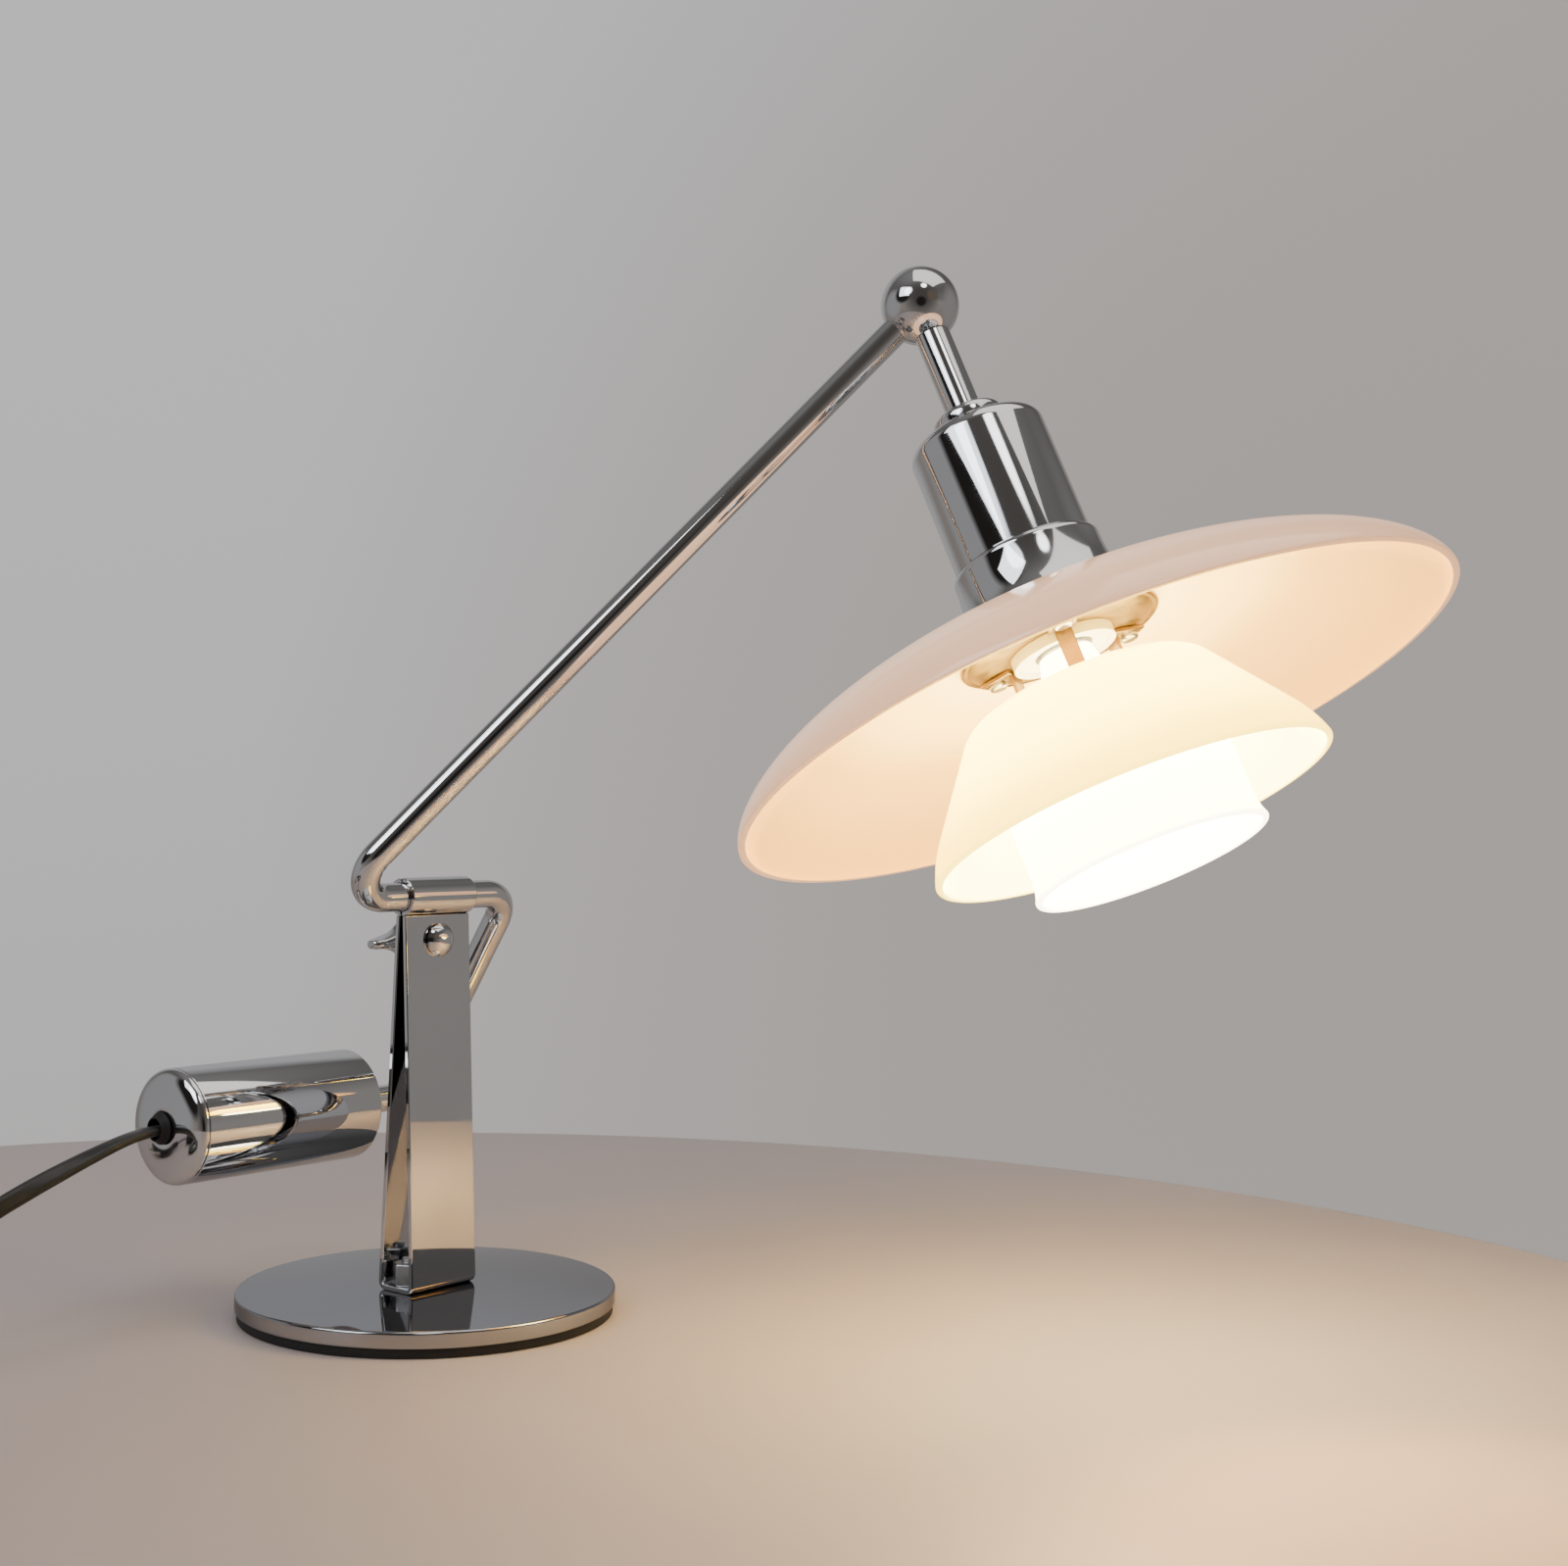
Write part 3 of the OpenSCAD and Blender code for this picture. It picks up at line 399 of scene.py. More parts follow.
def plasticMaterial(name, colour, roughness, grain, grainScale, worn=0.08):
    material, kit, shader, place = startMaterial(name, IOR=1.46)
    broad = kit.noise(place, 45, 4, 0.6)
    light = tuple(c + worn * (c + 0.02) for c in colour)
    kit.link(kit.ramp(broad, [(0.35, colour), (0.7, light)]), shader.inputs["Base Color"])
    kit.link(kit.span(broad, 0.3, 0.7, roughness - 0.06, roughness + 0.08), shader.inputs["Roughness"])
    kit.bump(kit.noise(place, grainScale, 3, 0.6), grain, 0.0003, shader)
    return material


def metalMaterial(name, colour, roughness, brush=(1, 1, 1)):
    # turned or pressed steel and brass, with fine tool marks
    material, kit, shader, place = startMaterial(name, Metallic=1.0)
    marks = kit.noise(kit.scaled(place, brush), 180, 5, 0.65)
    dull = tuple(c * 0.78 for c in colour)
    kit.link(kit.ramp(marks, [(0.3, dull), (0.7, colour)]), shader.inputs["Base Color"])
    kit.link(kit.span(marks, 0.3, 0.7, roughness - 0.07, roughness + 0.1), shader.inputs["Roughness"])
    kit.bump(marks, 0.12, 0.0002, shader)
    return material


def sheathMaterial():
    # soft black flex: satin, a little dusty here and there
    material, kit, shader, place = startMaterial("flexSheath", Sheen_Weight=0.12, Sheen_Roughness=0.5)
    fine = kit.noise(place, 320, 4, 0.6)
    broad = kit.noise(place, 40, 3, 0.5)
    kit.link(kit.ramp(broad, [(0.3, (0.006, 0.006, 0.0065)), (0.75, (0.016, 0.0155, 0.015))]),
             shader.inputs["Base Color"])
    kit.link(kit.span(fine, 0.3, 0.7, 0.32, 0.52), shader.inputs["Roughness"])
    kit.bump(fine, 0.15, 0.0002, shader)
    return material


# the head's own frame

swivel = joints["head_swivel"]
hinge = joints["arm_tilt"]
ballAt = Vector(swivel["pos_m"])
legAlong = Vector(swivel["axis"])
hingeAt = Vector(hinge["pos_m"])
headTilt = radians(26.2)
headPlace = Matrix.Translation(ballAt) @ Matrix.Rotation(-headTilt, 4, "X")


def headPoint(s, x=0, y=0):
    # a point s mm down the head's axis from the ball's middle
    return headPlace @ Vector((x * mm, y * mm, -s * mm))


bulbMiddle = tuple(headPoint(132))

chrome = chromeMaterial("chromePlate", (0.66, 0.66, 0.67), 0.03, 0.08)
chromeTube = chromeMaterial("chromeTube", (0.68, 0.68, 0.69), 0.025, 0.07, wipe=(1, 1, 0.35))
# the base disc's chrome is a dimmed copy of the plating: painted shade for the darker reflection it shows
chromeBaseShaded = chromeMaterial("chromeBaseShaded", (0.42, 0.425, 0.445), 0.035, 0.08, edge=0.55)
zinc = metalMaterial("zincSteel", (0.62, 0.62, 0.63), 0.3)
brass = metalMaterial("brassParts", (0.70, 0.52, 0.26), 0.28)
# the gallery plate's brown-gold is its own colour, darkened further as painted shade
satinGoldShaded = metalMaterial("satinPlateShaded", (0.40, 0.27, 0.13), 0.36)
nickel = metalMaterial("nickelPins", (0.72, 0.69, 0.62), 0.2)
rubber = plasticMaterial("blackRubber", (0.012, 0.012, 0.012), 0.62, 0.3, 900)
sheath = sheathMaterial()
plastic = plasticMaterial("blackPlastic", (0.016, 0.016, 0.017), 0.4, 0.35, 1400)
rockerPlastic = plasticMaterial("rockerPlastic", (0.03, 0.03, 0.031), 0.32, 0.2, 1400)
porcelain = plasticMaterial("ivoryHolder", (0.74, 0.70, 0.60), 0.35, 0.12, 500)

# the glow on every shade is painted light; the inside and outside copies of each glass get different body
# colours for how they are lit, also painted light
topOutside = opalMaterial("topShadeOutside", (0.84, 0.62, 0.50),
                          [(0, (1, 0.58, 0.28)), (0.6, (0.95, 0.50, 0.24)), (1, (0.66, 0.32, 0.14))],
                          1.35, 0.02, 0.11, bulbMiddle)
topInside = opalMaterial("topShadeInside", (0.84, 0.58, 0.34),
                         [(0, (1, 0.84, 0.30)), (0.28, (1, 0.66, 0.16)), (0.55, (0.52, 0.25, 0.05)),
                          (1, (0.34, 0.12, 0.015))], 4.4, 0.03, 0.11, bulbMiddle)
midOutside = opalMaterial("middleShadeOutside", (0.88, 0.74, 0.42),
                          [(0, (1, 0.92, 0.22)), (0.5, (0.95, 0.76, 0.09)), (1, (0.62, 0.42, 0.03))],
                          11.0, 0.018, 0.062, bulbMiddle)
midInside = opalMaterial("middleShadeInside", (0.9, 0.8, 0.6),
                         [(0, (1, 0.92, 0.30)), (1, (0.9, 0.76, 0.12))], 8.0, 0.02, 0.06, bulbMiddle)
lowOutside = opalMaterial("bottomShadeOutside", (0.95, 0.92, 0.84),
                          [(0, (1, 0.94, 0.74)), (1, (1, 0.88, 0.56))], 12.0, 0.03, 0.055, bulbMiddle)
lowInside = opalMaterial("bottomShadeInside", (0.96, 0.93, 0.86),
                         [(0, (1, 0.95, 0.78)), (1, (1, 0.90, 0.62))], 12.0, 0.02, 0.05, bulbMiddle)
bulbWhite = opalMaterial("bulbGlass", (0.95, 0.93, 0.88), [(0, (1, 0.94, 0.78)), (1, (1, 0.86, 0.56))],
                         12.0, 0.004, 0.03, bulbMiddle, 0.3)
print("materials made")


# base and stand

def finishPiece(piece, body, replaced=()):
    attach(piece, body)
    if replaced:
        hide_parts(*replaced)


def turnedPiece(name, outline, place, segments, material, body, replaced, closed=True,
                sharpAngle=38):
    mesh = turned(name, outline, place, segments, closed, sharpAngle)
    finishPiece(addObject(name, mesh, material), body, replaced)


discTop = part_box("base_disc")[1].z / mm
base = {"radius": 53.0, "bottom": 2.3, "edge": 0.8}


def makeBaseDisc(b):
    r = b["radius"]
    e = b["edge"]
    outline = ([(0, b["bottom"])] + arc(r - e, b["bottom"] + e, e, -90, 0, 5)
               + arc(r - e, discTop - e, e, 0, 90, 5) + [(0, discTop)])
    turnedPiece("baseDisc", outline, Matrix.Identity(4), 192, chromeBaseShaded, "base",
                ["base_disc"], closed=False)


makeBaseDisc(base)

strip = {
    "width": 24.0,
    "thick": 1.5,
    "foot": 14.0,
    "top": 4.0,
    "fold": 2.5,
    "edge": 0.3,
}


def makeStrip(s):
    hingeZ = hingeAt.z / mm
    lean = (s["foot"] - s["top"]) / 2 / (hingeZ - 5 - discTop - s["fold"])
    lift = discTop + s["fold"]
    plateTop = hingeZ - 5.2
    half = s["foot"] / 2
    topOut = half - lean * (plateTop - lift)
    outer = arc(half - s["fold"], lift, s["fold"], -90, 0, 8) + [(topOut, plateTop)]
    inner = [(topOut - s["thick"], plateTop)] + arc(half - s["fold"], lift, s["fold"] - s["thick"], 0, -90, 8)
    right = outer + inner
    outline = right + [(-y, z) for y, z in reversed(right)]
    w = s["width"] / 2
    verts = [Vector((x, y, z)) * mm for x in (-w, w) for y, z in outline]
    mesh = meshFrom("standStrip", verts, skinFaces(2, len(outline)), 30)
    piece = bevelled(addObject("standStrip", mesh, chrome), s["edge"], 3, 50)
    finishPiece(piece, "base", ["stand_strip"])


makeStrip(strip)

sleeve = {"inner": 4.05, "outer": 5.3, "half": 12.0, "gap": 0.5, "lip": 0.25}


def makeSleeves(s):
    # two half shells along X, with rounded seam edges
    place = Matrix.Translation(hingeAt)
    for name, side in (("sleeveFront", -1), ("sleeveBack", 1)):
        start = math.degrees(math.asin(s["gap"] / 2 / s["outer"]))
        outerArc = arc(0, 0, s["outer"], start, 180 - start, 40)
        innerArc = arc(0, 0, s["inner"], 180 - start * 1.3, start * 1.3, 40)
        outline = [(side * b, a) for a, b in outerArc + innerArc]
        n = len(outline)
        verts = [place @ (Vector((x, y, z)) * mm) for x in (-s["half"], s["half"]) for y, z in outline]
        faces = skinFaces(2, n, closed=False)
        half = n // 2
        for offset in (0, n):
            for i in range(half - 1):
                faces.append((offset + i, offset + i + 1, offset + n - 2 - i, offset + n - 1 - i))
        mesh = meshFrom(name, verts, faces, 35)
        piece = bevelled(addObject(name, mesh, chrome), s["lip"], 2, 50)
        cad = "sleeve_front" if side < 0 else "sleeve_back"
        finishPiece(piece, "base", [cad])


makeSleeves(sleeve)
print("base and stand made")


# arm, from the ball to the counterweight

arm = {
    "radius": 4.0,
    "bend": 10.0,
    "legLength": 231.0,
    "cornerLeft": -36.0,
    "cornerRight": 30.0,
    "rearLeg": 75.5,
    "stopAtBall": 4.6,
    "tubeEnd": -50.5,
}


def makeArmTube(a):
    up = Vector((0, legAlong.y, legAlong.z)).normalized()       # the arm's plane holds X and this
    normal = Vector((1, 0, 0)).cross(up)
    legTurn = math.degrees(math.acos(legAlong.x))
    turn = 180 - legTurn
    tangent = a["bend"] * tan(radians(turn / 2))
    reach = a["legLength"] - a["stopAtBall"]
    flat = [(a["cornerLeft"] + reach * cos(radians(legTurn)), reach * sin(radians(legTurn)))]
    steps = 22
    for i in range(1, steps):
        share = (reach - tangent) * (1 - i / steps) + tangent
        flat.append((a["cornerLeft"] + share * cos(radians(legTurn)), share * sin(radians(legTurn))))
    flat += arc(a["cornerLeft"] + tangent, a["bend"], a["bend"], 270 - turn, 270, 28)
    flat += arc(a["cornerRight"] - a["bend"], -a["bend"], a["bend"], 90, 0, 20)
    flat += arc(a["cornerRight"] - a["bend"], a["bend"] - a["rearLeg"], a["bend"], 0, -90, 20)
    flat.append((a["tubeEnd"], -a["rearLeg"]))
    path = [hingeAt + Vector((x * mm, 0, 0)) + up * y * mm for x, y in flat]
    mesh = swept("armTube", path, ringSection(a["radius"] * mm, a["radius"] * mm, 72), [normal] * len(path))
    finishPiece(addObject("armTube", mesh, chromeTube), "arm", ["arm_tube"])
    return hingeAt - up * a["rearLeg"] * mm


weightAt = makeArmTube(arm)

weight = {
    "radius": 16.0,
    "face": 4.6,
    "seam": -56.0,
    "end": -60.0,
    "wall": 1.2,
    "edge": 0.7,
    "bush": 4.5,
    "bushOut": 2.6,
}
# local z runs along -X, out of the cord's end
weightPlace = Matrix.Translation(weightAt) @ Matrix.Rotation(-pi / 2, 4, "Y")


def makeCounterweight(w):
    r = w["radius"]
    e = w["edge"]
    front = -w["face"]
    seam = -w["seam"]
    end = -w["end"]
    lip = 0.25
    shell = ([(4.05, front)] + arc(r - e, front + e, e, -90, 0, 5) + arc(r - lip, seam - lip, lip, 0, 90, 3)
             + [(r - w["wall"], seam), (r - w["wall"], front + w["wall"]), (4.05, front + w["wall"])])
    turnedPiece("weightShell", shell, weightPlace, 128, chrome, "arm", ["weight_shell"])
    bulge = end - seam - 0.12 - lip
    cap = ([(r - w["wall"] - 0.05, seam - 2), (r - w["wall"] - 0.05, seam + 0.12)]
           + arc(r - lip, seam + 0.12 + lip, lip, -90, 0, 3)
           + [(r * cos(radians(a)) ** 0.62, end - bulge + bulge * sin(radians(a)) ** 0.9)
              for a in range(6, 79, 6)]
           + [(w["bush"] + 0.3, end - 0.03), (w["bush"] - 1, end - 0.3), (w["bush"] - 1, seam - 2)])
    turnedPiece("weightCap", cap, weightPlace, 128, chrome, "arm",
                ["weight_cap"], sharpAngle=30)
    ferrule = [(4.05, front), (4.9, front), (5.4, front - 0.5), (5.4, front - 1.5), (4.9, front - 2),
               (4.05, front - 2)]
    turnedPiece("weightFerrule", ferrule, weightPlace, 64, chrome, "arm", ["weight_collar"])
    b = w["bush"]
    out = w["bushOut"]
    grommet = ([(2.75, end - 3), (b - 1.05, end - 3), (b - 1.05, end), (b - 0.4, end)]
               + arc(b - 0.55, end + 0.55, 0.5, -80, 80, 5)
               + [(b - 0.75, end + 1.2), (b - 1.0, end + out - 0.4), (b - 1.35, end + out),
                  (2.95, end + out), (2.75, end + out - 0.3)])
    turnedPiece("cordBush", grommet, weightPlace, 64, rubber, "arm", ["cord_bush"])


makeCounterweight(weight)
print("arm and counterweight made")


# head: ball, stem and socket cap

head = {
    "ball": 11.0,
    "stem": 5.0,
    "stemSeat": 9.9,
    "capTop": 42.0,
    "bossHeight": 6.3,
    "boss": 10.0,
    "capRadius": 19.15,
    "capLength": 39.0,
    "shoulder": 4.0,
    "wall": 1.0,
    "flareRadius": 30.0,
    "flareHeight": 21.3,
}


def down(outline):
    # the head's outlines are written as (radius, distance below the ball)
    return [(r, -s) for r, s in outline]


def makeHead(h):
    r = h["ball"]
    ballOutline = [(r * sin(radians(a)), r * cos(radians(a))) for a in range(0, 181, 3)]
    turnedPiece("jointBall", ballOutline, headPlace, 128, chrome, "head",
                ["joint_ball"], closed=False)
    q = h["stem"]
    stem = [(2.4, h["stemSeat"]), (q - 0.3, h["stemSeat"]), (q, h["stemSeat"] + 0.3),
            (q, h["capTop"] + 2), (2.4, h["capTop"] + 2)]
    turnedPiece("stemTube", down(stem), headPlace, 96, chromeTube, "head", ["stem"])
    b = h["boss"]
    top = h["capTop"] - h["bossHeight"]
    boss = ([(q + 0.05, top + 0.3), (q + 0.5, top)]
            + [(b - 2.2 + x, top + 2.2 - z) for x, z in arc(0, 0, 2.2, 90, 0, 8)]
            + [(b, h["capTop"] - 0.6), (b - 0.25, h["capTop"] - 0.1), (q + 0.05, h["capTop"] - 0.1)])
    turnedPiece("stemBoss", down(boss), headPlace, 96, chrome, "head", ["stem_boss"])
    c = h["capRadius"]
    e = h["shoulder"]
    t = h["wall"]
    bottom = h["capTop"] + h["capLength"]
    cap = ([(q + 0.05, h["capTop"])] + [(c - e + x, h["capTop"] + e - z) for x, z in arc(0, 0, e, 90, 0, 10)]
           + [(c, bottom - 0.3), (c - 0.25, bottom), (c - t, bottom)]
           + [(c - e + x, h["capTop"] + e - z) for x, z in arc(0, 0, e - t, 0, 90, 8)]
           + [(q + 0.05, h["capTop"] + t)])
    turnedPiece("socketCap", down(cap), headPlace, 128, chrome, "head", ["socket_cap"])
    start = c + 1.6
    seam = bottom + 0.1
    outer = []
    for i in range(29):
        share = i / 28
        flare = start + (h["flareRadius"] - start) * (1 - sqrt(max(0, 1 - share ** 2.2)))
        outer.append((flare, seam + 1 + (h["flareHeight"] - 1.2) * share))
    foot = ([(c - t - 0.05, bottom - 3), (c - t - 0.05, seam), (c + 0.4, seam), (c + 1.2, seam + 0.35)]
            + outer
            + [(h["flareRadius"] - 0.5, seam + h["flareHeight"] - 0.05)]
            + [(p[0] - t - 0.8, p[1]) for p in reversed(outer)]
            + [(c - 2 * t, seam + 1), (c - 2 * t, bottom - 3)])
    turnedPiece("capFoot", down(foot), headPlace, 160, chrome, "head", ["cap_foot"])


makeHead(head)
print("ball, stem and cap made")


# geometry nodes: pieces that repeat round an axis, and the top shade's dome

def newTree(name, inputs):
    tree = bpy.data.node_groups.new(name, "GeometryNodeTree")
    tree.interface.new_socket("Geometry", in_out="INPUT", socket_type="NodeSocketGeometry")
    for label, kind in inputs:
        tree.interface.new_socket(label, in_out="INPUT", socket_type=kind)
    tree.interface.new_socket("Geometry", in_out="OUTPUT", socket_type="NodeSocketGeometry")
    return tree, tree.nodes.new("NodeGroupInput"), tree.nodes.new("NodeGroupOutput")


def treeMath(tree, operation, a, b=None):
    node = tree.nodes.new("ShaderNodeMath")
    node.operation = operation
    for socket, value in zip(node.inputs, (a, b)):
        if value is None:
            continue
        if isinstance(value, (int, float)):
            socket.default_value = value
        else:
            tree.links.new(value, socket)
    return node.outputs[0]


def finishTree(tree, geometry, material, sink):
    # plain geometry with its material, out of the group
    real = tree.nodes.new("GeometryNodeRealizeInstances")
    tree.links.new(geometry, real.inputs[0])
    coat = tree.nodes.new("GeometryNodeSetMaterial")
    tree.links.new(real.outputs[0], coat.inputs["Geometry"])
    tree.links.new(material, coat.inputs["Material"])
    tree.links.new(coat.outputs[0], sink.inputs["Geometry"])
    return tree


def aroundAxisTree():
    # copies of the input mesh, spaced evenly round the z axis
    tree, source, sink = newTree("aroundAxis", [
        ("Count", "NodeSocketInt"), ("First Angle", "NodeSocketFloat"), ("Material", "NodeSocketMaterial")])
    line = tree.nodes.new("GeometryNodeMeshLine")
    line.inputs["Offset"].default_value = (0, 0, 0)
    tree.links.new(source.outputs["Count"], line.inputs["Count"])
    index = tree.nodes.new("GeometryNodeInputIndex").outputs[0]
    step = treeMath(tree, "DIVIDE", 2 * pi, source.outputs["Count"])
    angle = treeMath(tree, "ADD", treeMath(tree, "MULTIPLY", index, step), source.outputs["First Angle"])
    turn = tree.nodes.new("ShaderNodeCombineXYZ")
    tree.links.new(angle, turn.inputs["Z"])
    copies = tree.nodes.new("GeometryNodeInstanceOnPoints")
    tree.links.new(line.outputs["Mesh"], copies.inputs["Points"])
    tree.links.new(source.outputs["Geometry"], copies.inputs["Instance"])
    tree.links.new(turn.outputs[0], copies.inputs["Rotation"])
    return finishTree(tree, copies.outputs[0], source.outputs["Material"], sink)


def domeTree():
    # a grid wrapped into a flat dome: radius = R cos(a)^p, height = H sin(a)^q
    tree, source, sink = newTree("flatDome", [
        ("Rim Radius", "NodeSocketFloat"), ("Depth", "NodeSocketFloat"), ("Neck Angle", "NodeSocketFloat"),
        ("Round Power", "NodeSocketFloat"), ("Height Power", "NodeSocketFloat"),
        ("Segments", "NodeSocketInt"), ("Rows", "NodeSocketInt"), ("Material", "NodeSocketMaterial")])
    give = source.outputs
    grid = tree.nodes.new("GeometryNodeMeshGrid")
    grid.inputs["Size X"].default_value = 1
    grid.inputs["Size Y"].default_value = 1
    tree.links.new(treeMath(tree, "ADD", give["Segments"], 1), grid.inputs["Vertices X"])
    tree.links.new(give["Rows"], grid.inputs["Vertices Y"])
    split = tree.nodes.new("ShaderNodeSeparateXYZ")
    tree.links.new(tree.nodes.new("GeometryNodeInputPosition").outputs[0], split.inputs[0])
    roundAngle = treeMath(tree, "MULTIPLY", treeMath(tree, "ADD", split.outputs["X"], 0.5), 2 * pi)
    climb = treeMath(tree, "MULTIPLY", treeMath(tree, "ADD", split.outputs["Y"], 0.5), give["Neck Angle"])
    radius = treeMath(tree, "MULTIPLY", give["Rim Radius"],
                      treeMath(tree, "POWER", treeMath(tree, "COSINE", climb), give["Round Power"]))
    height = treeMath(tree, "MULTIPLY", give["Depth"],
                      treeMath(tree, "POWER", treeMath(tree, "SINE", climb), give["Height Power"]))
    place = tree.nodes.new("ShaderNodeCombineXYZ")
    for operation, axis in (("COSINE", "X"), ("SINE", "Y")):
        side = treeMath(tree, "MULTIPLY", radius, treeMath(tree, operation, roundAngle))
        tree.links.new(side, place.inputs[axis])
    tree.links.new(height, place.inputs["Z"])
    move = tree.nodes.new("GeometryNodeSetPosition")
    tree.links.new(grid.outputs["Mesh"], move.inputs["Geometry"])
    tree.links.new(place.outputs[0], move.inputs["Position"])
    weld = tree.nodes.new("GeometryNodeMergeByDistance")
    weld.inputs["Distance"].default_value = 1e-6
    tree.links.new(move.outputs[0], weld.inputs["Geometry"])
    return finishTree(tree, weld.outputs[0], give["Material"], sink)


def grown(name, seed, tree, values, place, sharpAngle=38):
    # runs a tree on a seed mesh and returns the plain mesh, moved to its place
    holder = bpy.data.objects.new(name + "Seed", seed)
    bpy.context.scene.collection.objects.link(holder)
    modifier = holder.modifiers.new("nodes", "NODES")
    modifier.node_group = tree
    for item in tree.interface.items_tree:
        if item.in_out == "INPUT" and item.name in values:
            modifier[item.identifier] = values[item.name]
    bpy.context.view_layer.update()
    mesh = bpy.data.meshes.new_from_object(holder.evaluated_get(bpy.context.evaluated_depsgraph_get()))
    holder.modifiers.remove(modifier)
    bpy.data.objects.remove(holder)
    mesh.name = name
    mesh.transform(place)
    work = bmesh.new()
    work.from_mesh(mesh)
    bmesh.ops.recalc_face_normals(work, faces=work.faces)
    work.to_mesh(mesh)
    work.free()
    smooth(mesh, sharpAngle)
    return mesh


around = aroundAxisTree()
dome = domeTree()


# glass shades

shades = {
    "glass": 2.0,
    "topRim": 100.0,
    "topDepth": 31.6,
    "roundPower": 0.98,
    "heightPower": 1.2,
    "seat": 28.0,
    "midRim": 55.0,
    "midDepth": 36.5,
    "midDrop": 26.1,
    "lowRim": 32.3,
    "lowDepth": 37.0,
    "lowDrop": 12.6,
    "neck": 18.0,
    "lipShare": 0.42,
    "midFlank": 35,
    "midBulge": 35.0,
    "midStart": 15,
    "midShoulder": 10.0,
    "lowShoulder": 9.0,
}


def domeRise(rim, depth, x):
    return depth * sqrt(1 - (x / rim) ** (2 / shades["roundPower"])) ** shades["heightPower"]


flareEnd = head["capTop"] + head["capLength"] + head["flareHeight"]
rimTop = flareEnd + domeRise(shades["topRim"], shades["topDepth"], shades["seat"]) + 0.1
rimMid = rimTop + shades["midDrop"]
rimLow = rimMid + shades["lowDrop"]


def facingOut(mesh, place):
    # an open shell has no inside, so its faces are turned away from the head's axis
    toLocal = place.inverted()
    work = bmesh.new()
    work.from_mesh(mesh)
    work.normal_update()
    score = 0
    for face in work.faces:
        middle = toLocal @ face.calc_center_median()
        normal = toLocal.to_3x3() @ face.normal
        score += (Vector((middle.x, middle.y, 0)).normalized() + Vector((0, 0, 1))).dot(normal)
    if score < 0:
        bmesh.ops.reverse_faces(work, faces=work.faces)
    work.to_mesh(mesh)
    work.free()
    smooth(mesh, 45)


def glassPiece(name, mesh, place, outside, inside, cad):
    # the outline is the outer face, the wall grows inwards and its rim is rounded
    facingOut(mesh, place)
    mesh.materials.clear()
    piece = addObject(name, mesh, outside)
    mesh.materials.append(inside)
    for face in mesh.polygons:
        face.material_index = 0
    wall = piece.modifiers.new("wall", "SOLIDIFY")
    wall.thickness = shades["glass"] * mm
    wall.offset = -1
    wall.use_even_offset = True
    wall.material_offset = 1
    bevelled(piece, shades["glass"] * shades["lipShare"], 4, 50)
    finishPiece(piece, "head", [cad])


def makeShades(s):
    p = s["roundPower"]
    neckAngle = math.acos((s["neck"] / s["topRim"]) ** (1 / p))
    seed = bpy.data.meshes.new("shadeSeed")
    rimPlace = headPlace @ Matrix.Translation((0, 0, -rimTop * mm))
    mesh = grown("shadeTop", seed, dome, {
        "Rim Radius": s["topRim"] * mm, "Depth": s["topDepth"] * mm, "Neck Angle": neckAngle,
        "Round Power": p, "Height Power": s["heightPower"], "Segments": 224, "Rows": 64,
        "Material": topOutside}, rimPlace)
    glassPiece("shadeTop", mesh, rimPlace, topOutside, topInside, "shade_top")

    flank = s["midFlank"]
    bulge = s["midBulge"]
    lean = s["midStart"]
    corner = s["midShoulder"]
    r = s["midRim"]
    depth = s["midDepth"]
    bulgeX = r - bulge * cos(radians(lean))
    bulgeY = -bulge * sin(radians(lean))
    endX = bulgeX + bulge * cos(radians(flank))
    endY = bulgeY + bulge * sin(radians(flank))
    touchY = depth - corner + corner * sin(radians(flank))
    touchX = endX - (touchY - endY) * tan(radians(flank))
    cornerX = touchX - corner * cos(radians(flank))
    flankLine = [(endX + (touchX - endX) * k / 8, endY + (touchY - endY) * k / 8) for k in range(1, 8)]
    middle = (arc(bulgeX, bulgeY, bulge, lean, flank, 14) + flankLine
              + arc(cornerX, depth - corner, corner, flank, 90, 14)
              + [(s["neck"] + 4, depth), (s["neck"], depth)])
    place = headPlace @ Matrix.Translation((0, 0, -rimMid * mm))
    mesh = turned("shadeMiddle", middle, place, 192, closed=False)
    glassPiece("shadeMiddle", mesh, place, midOutside, midInside, "shade_middle")

    r = s["lowRim"]
    flankR = r - 1.5
    corner = s["lowShoulder"]
    depth = s["lowDepth"]
    lowFlank = [(flankR, 6 + (depth - corner - 6) * k / 6) for k in range(1, 6)]
    flare = [(r, 0), (r - 0.38, 0.75), (r - 0.7, 1.5), (r - 1.0, 2.4), (r - 1.22, 3.5), (r - 1.42, 4.7),
             (flankR, 6)]
    bottom = (flare + lowFlank + arc(flankR - corner, depth - corner, corner, 0, 90, 12)
              + [(s["neck"], depth)])
    place = headPlace @ Matrix.Translation((0, 0, -rimLow * mm))
    mesh = turned("shadeBottom", bottom, place, 160, closed=False)
    glassPiece("shadeBottom", mesh, place, lowOutside, lowInside, "shade_bottom")


makeShades(shades)
print("glass shades made")


# gallery: plate, carrier strips, screws, bulb

gallery = {
    "radius": 28.3,
    "hole": 13.35,
    "thick": 1.6,
    "gasket": 1.5,
    "legRadius": 15.6,
    "legThick": 1.2,
    "legWidth": 4.6,
    "footWidth": 8.0,
    "legAngle": -27.0,
    "tabReach": 23.0,
    "screwAt": 21.8,
}


def underGlass(x):
    s = shades
    return rimTop - domeRise(s["topRim"] - s["glass"], s["topDepth"] - s["glass"], x)


def extruded(name, outline, z0, z1, sharpAngle=35):
    verts = [Vector((x, y, z)) * mm for z in (z0, z1) for x, y in outline]
    return meshFrom(name, verts, skinFaces(2, len(outline)), sharpAngle)


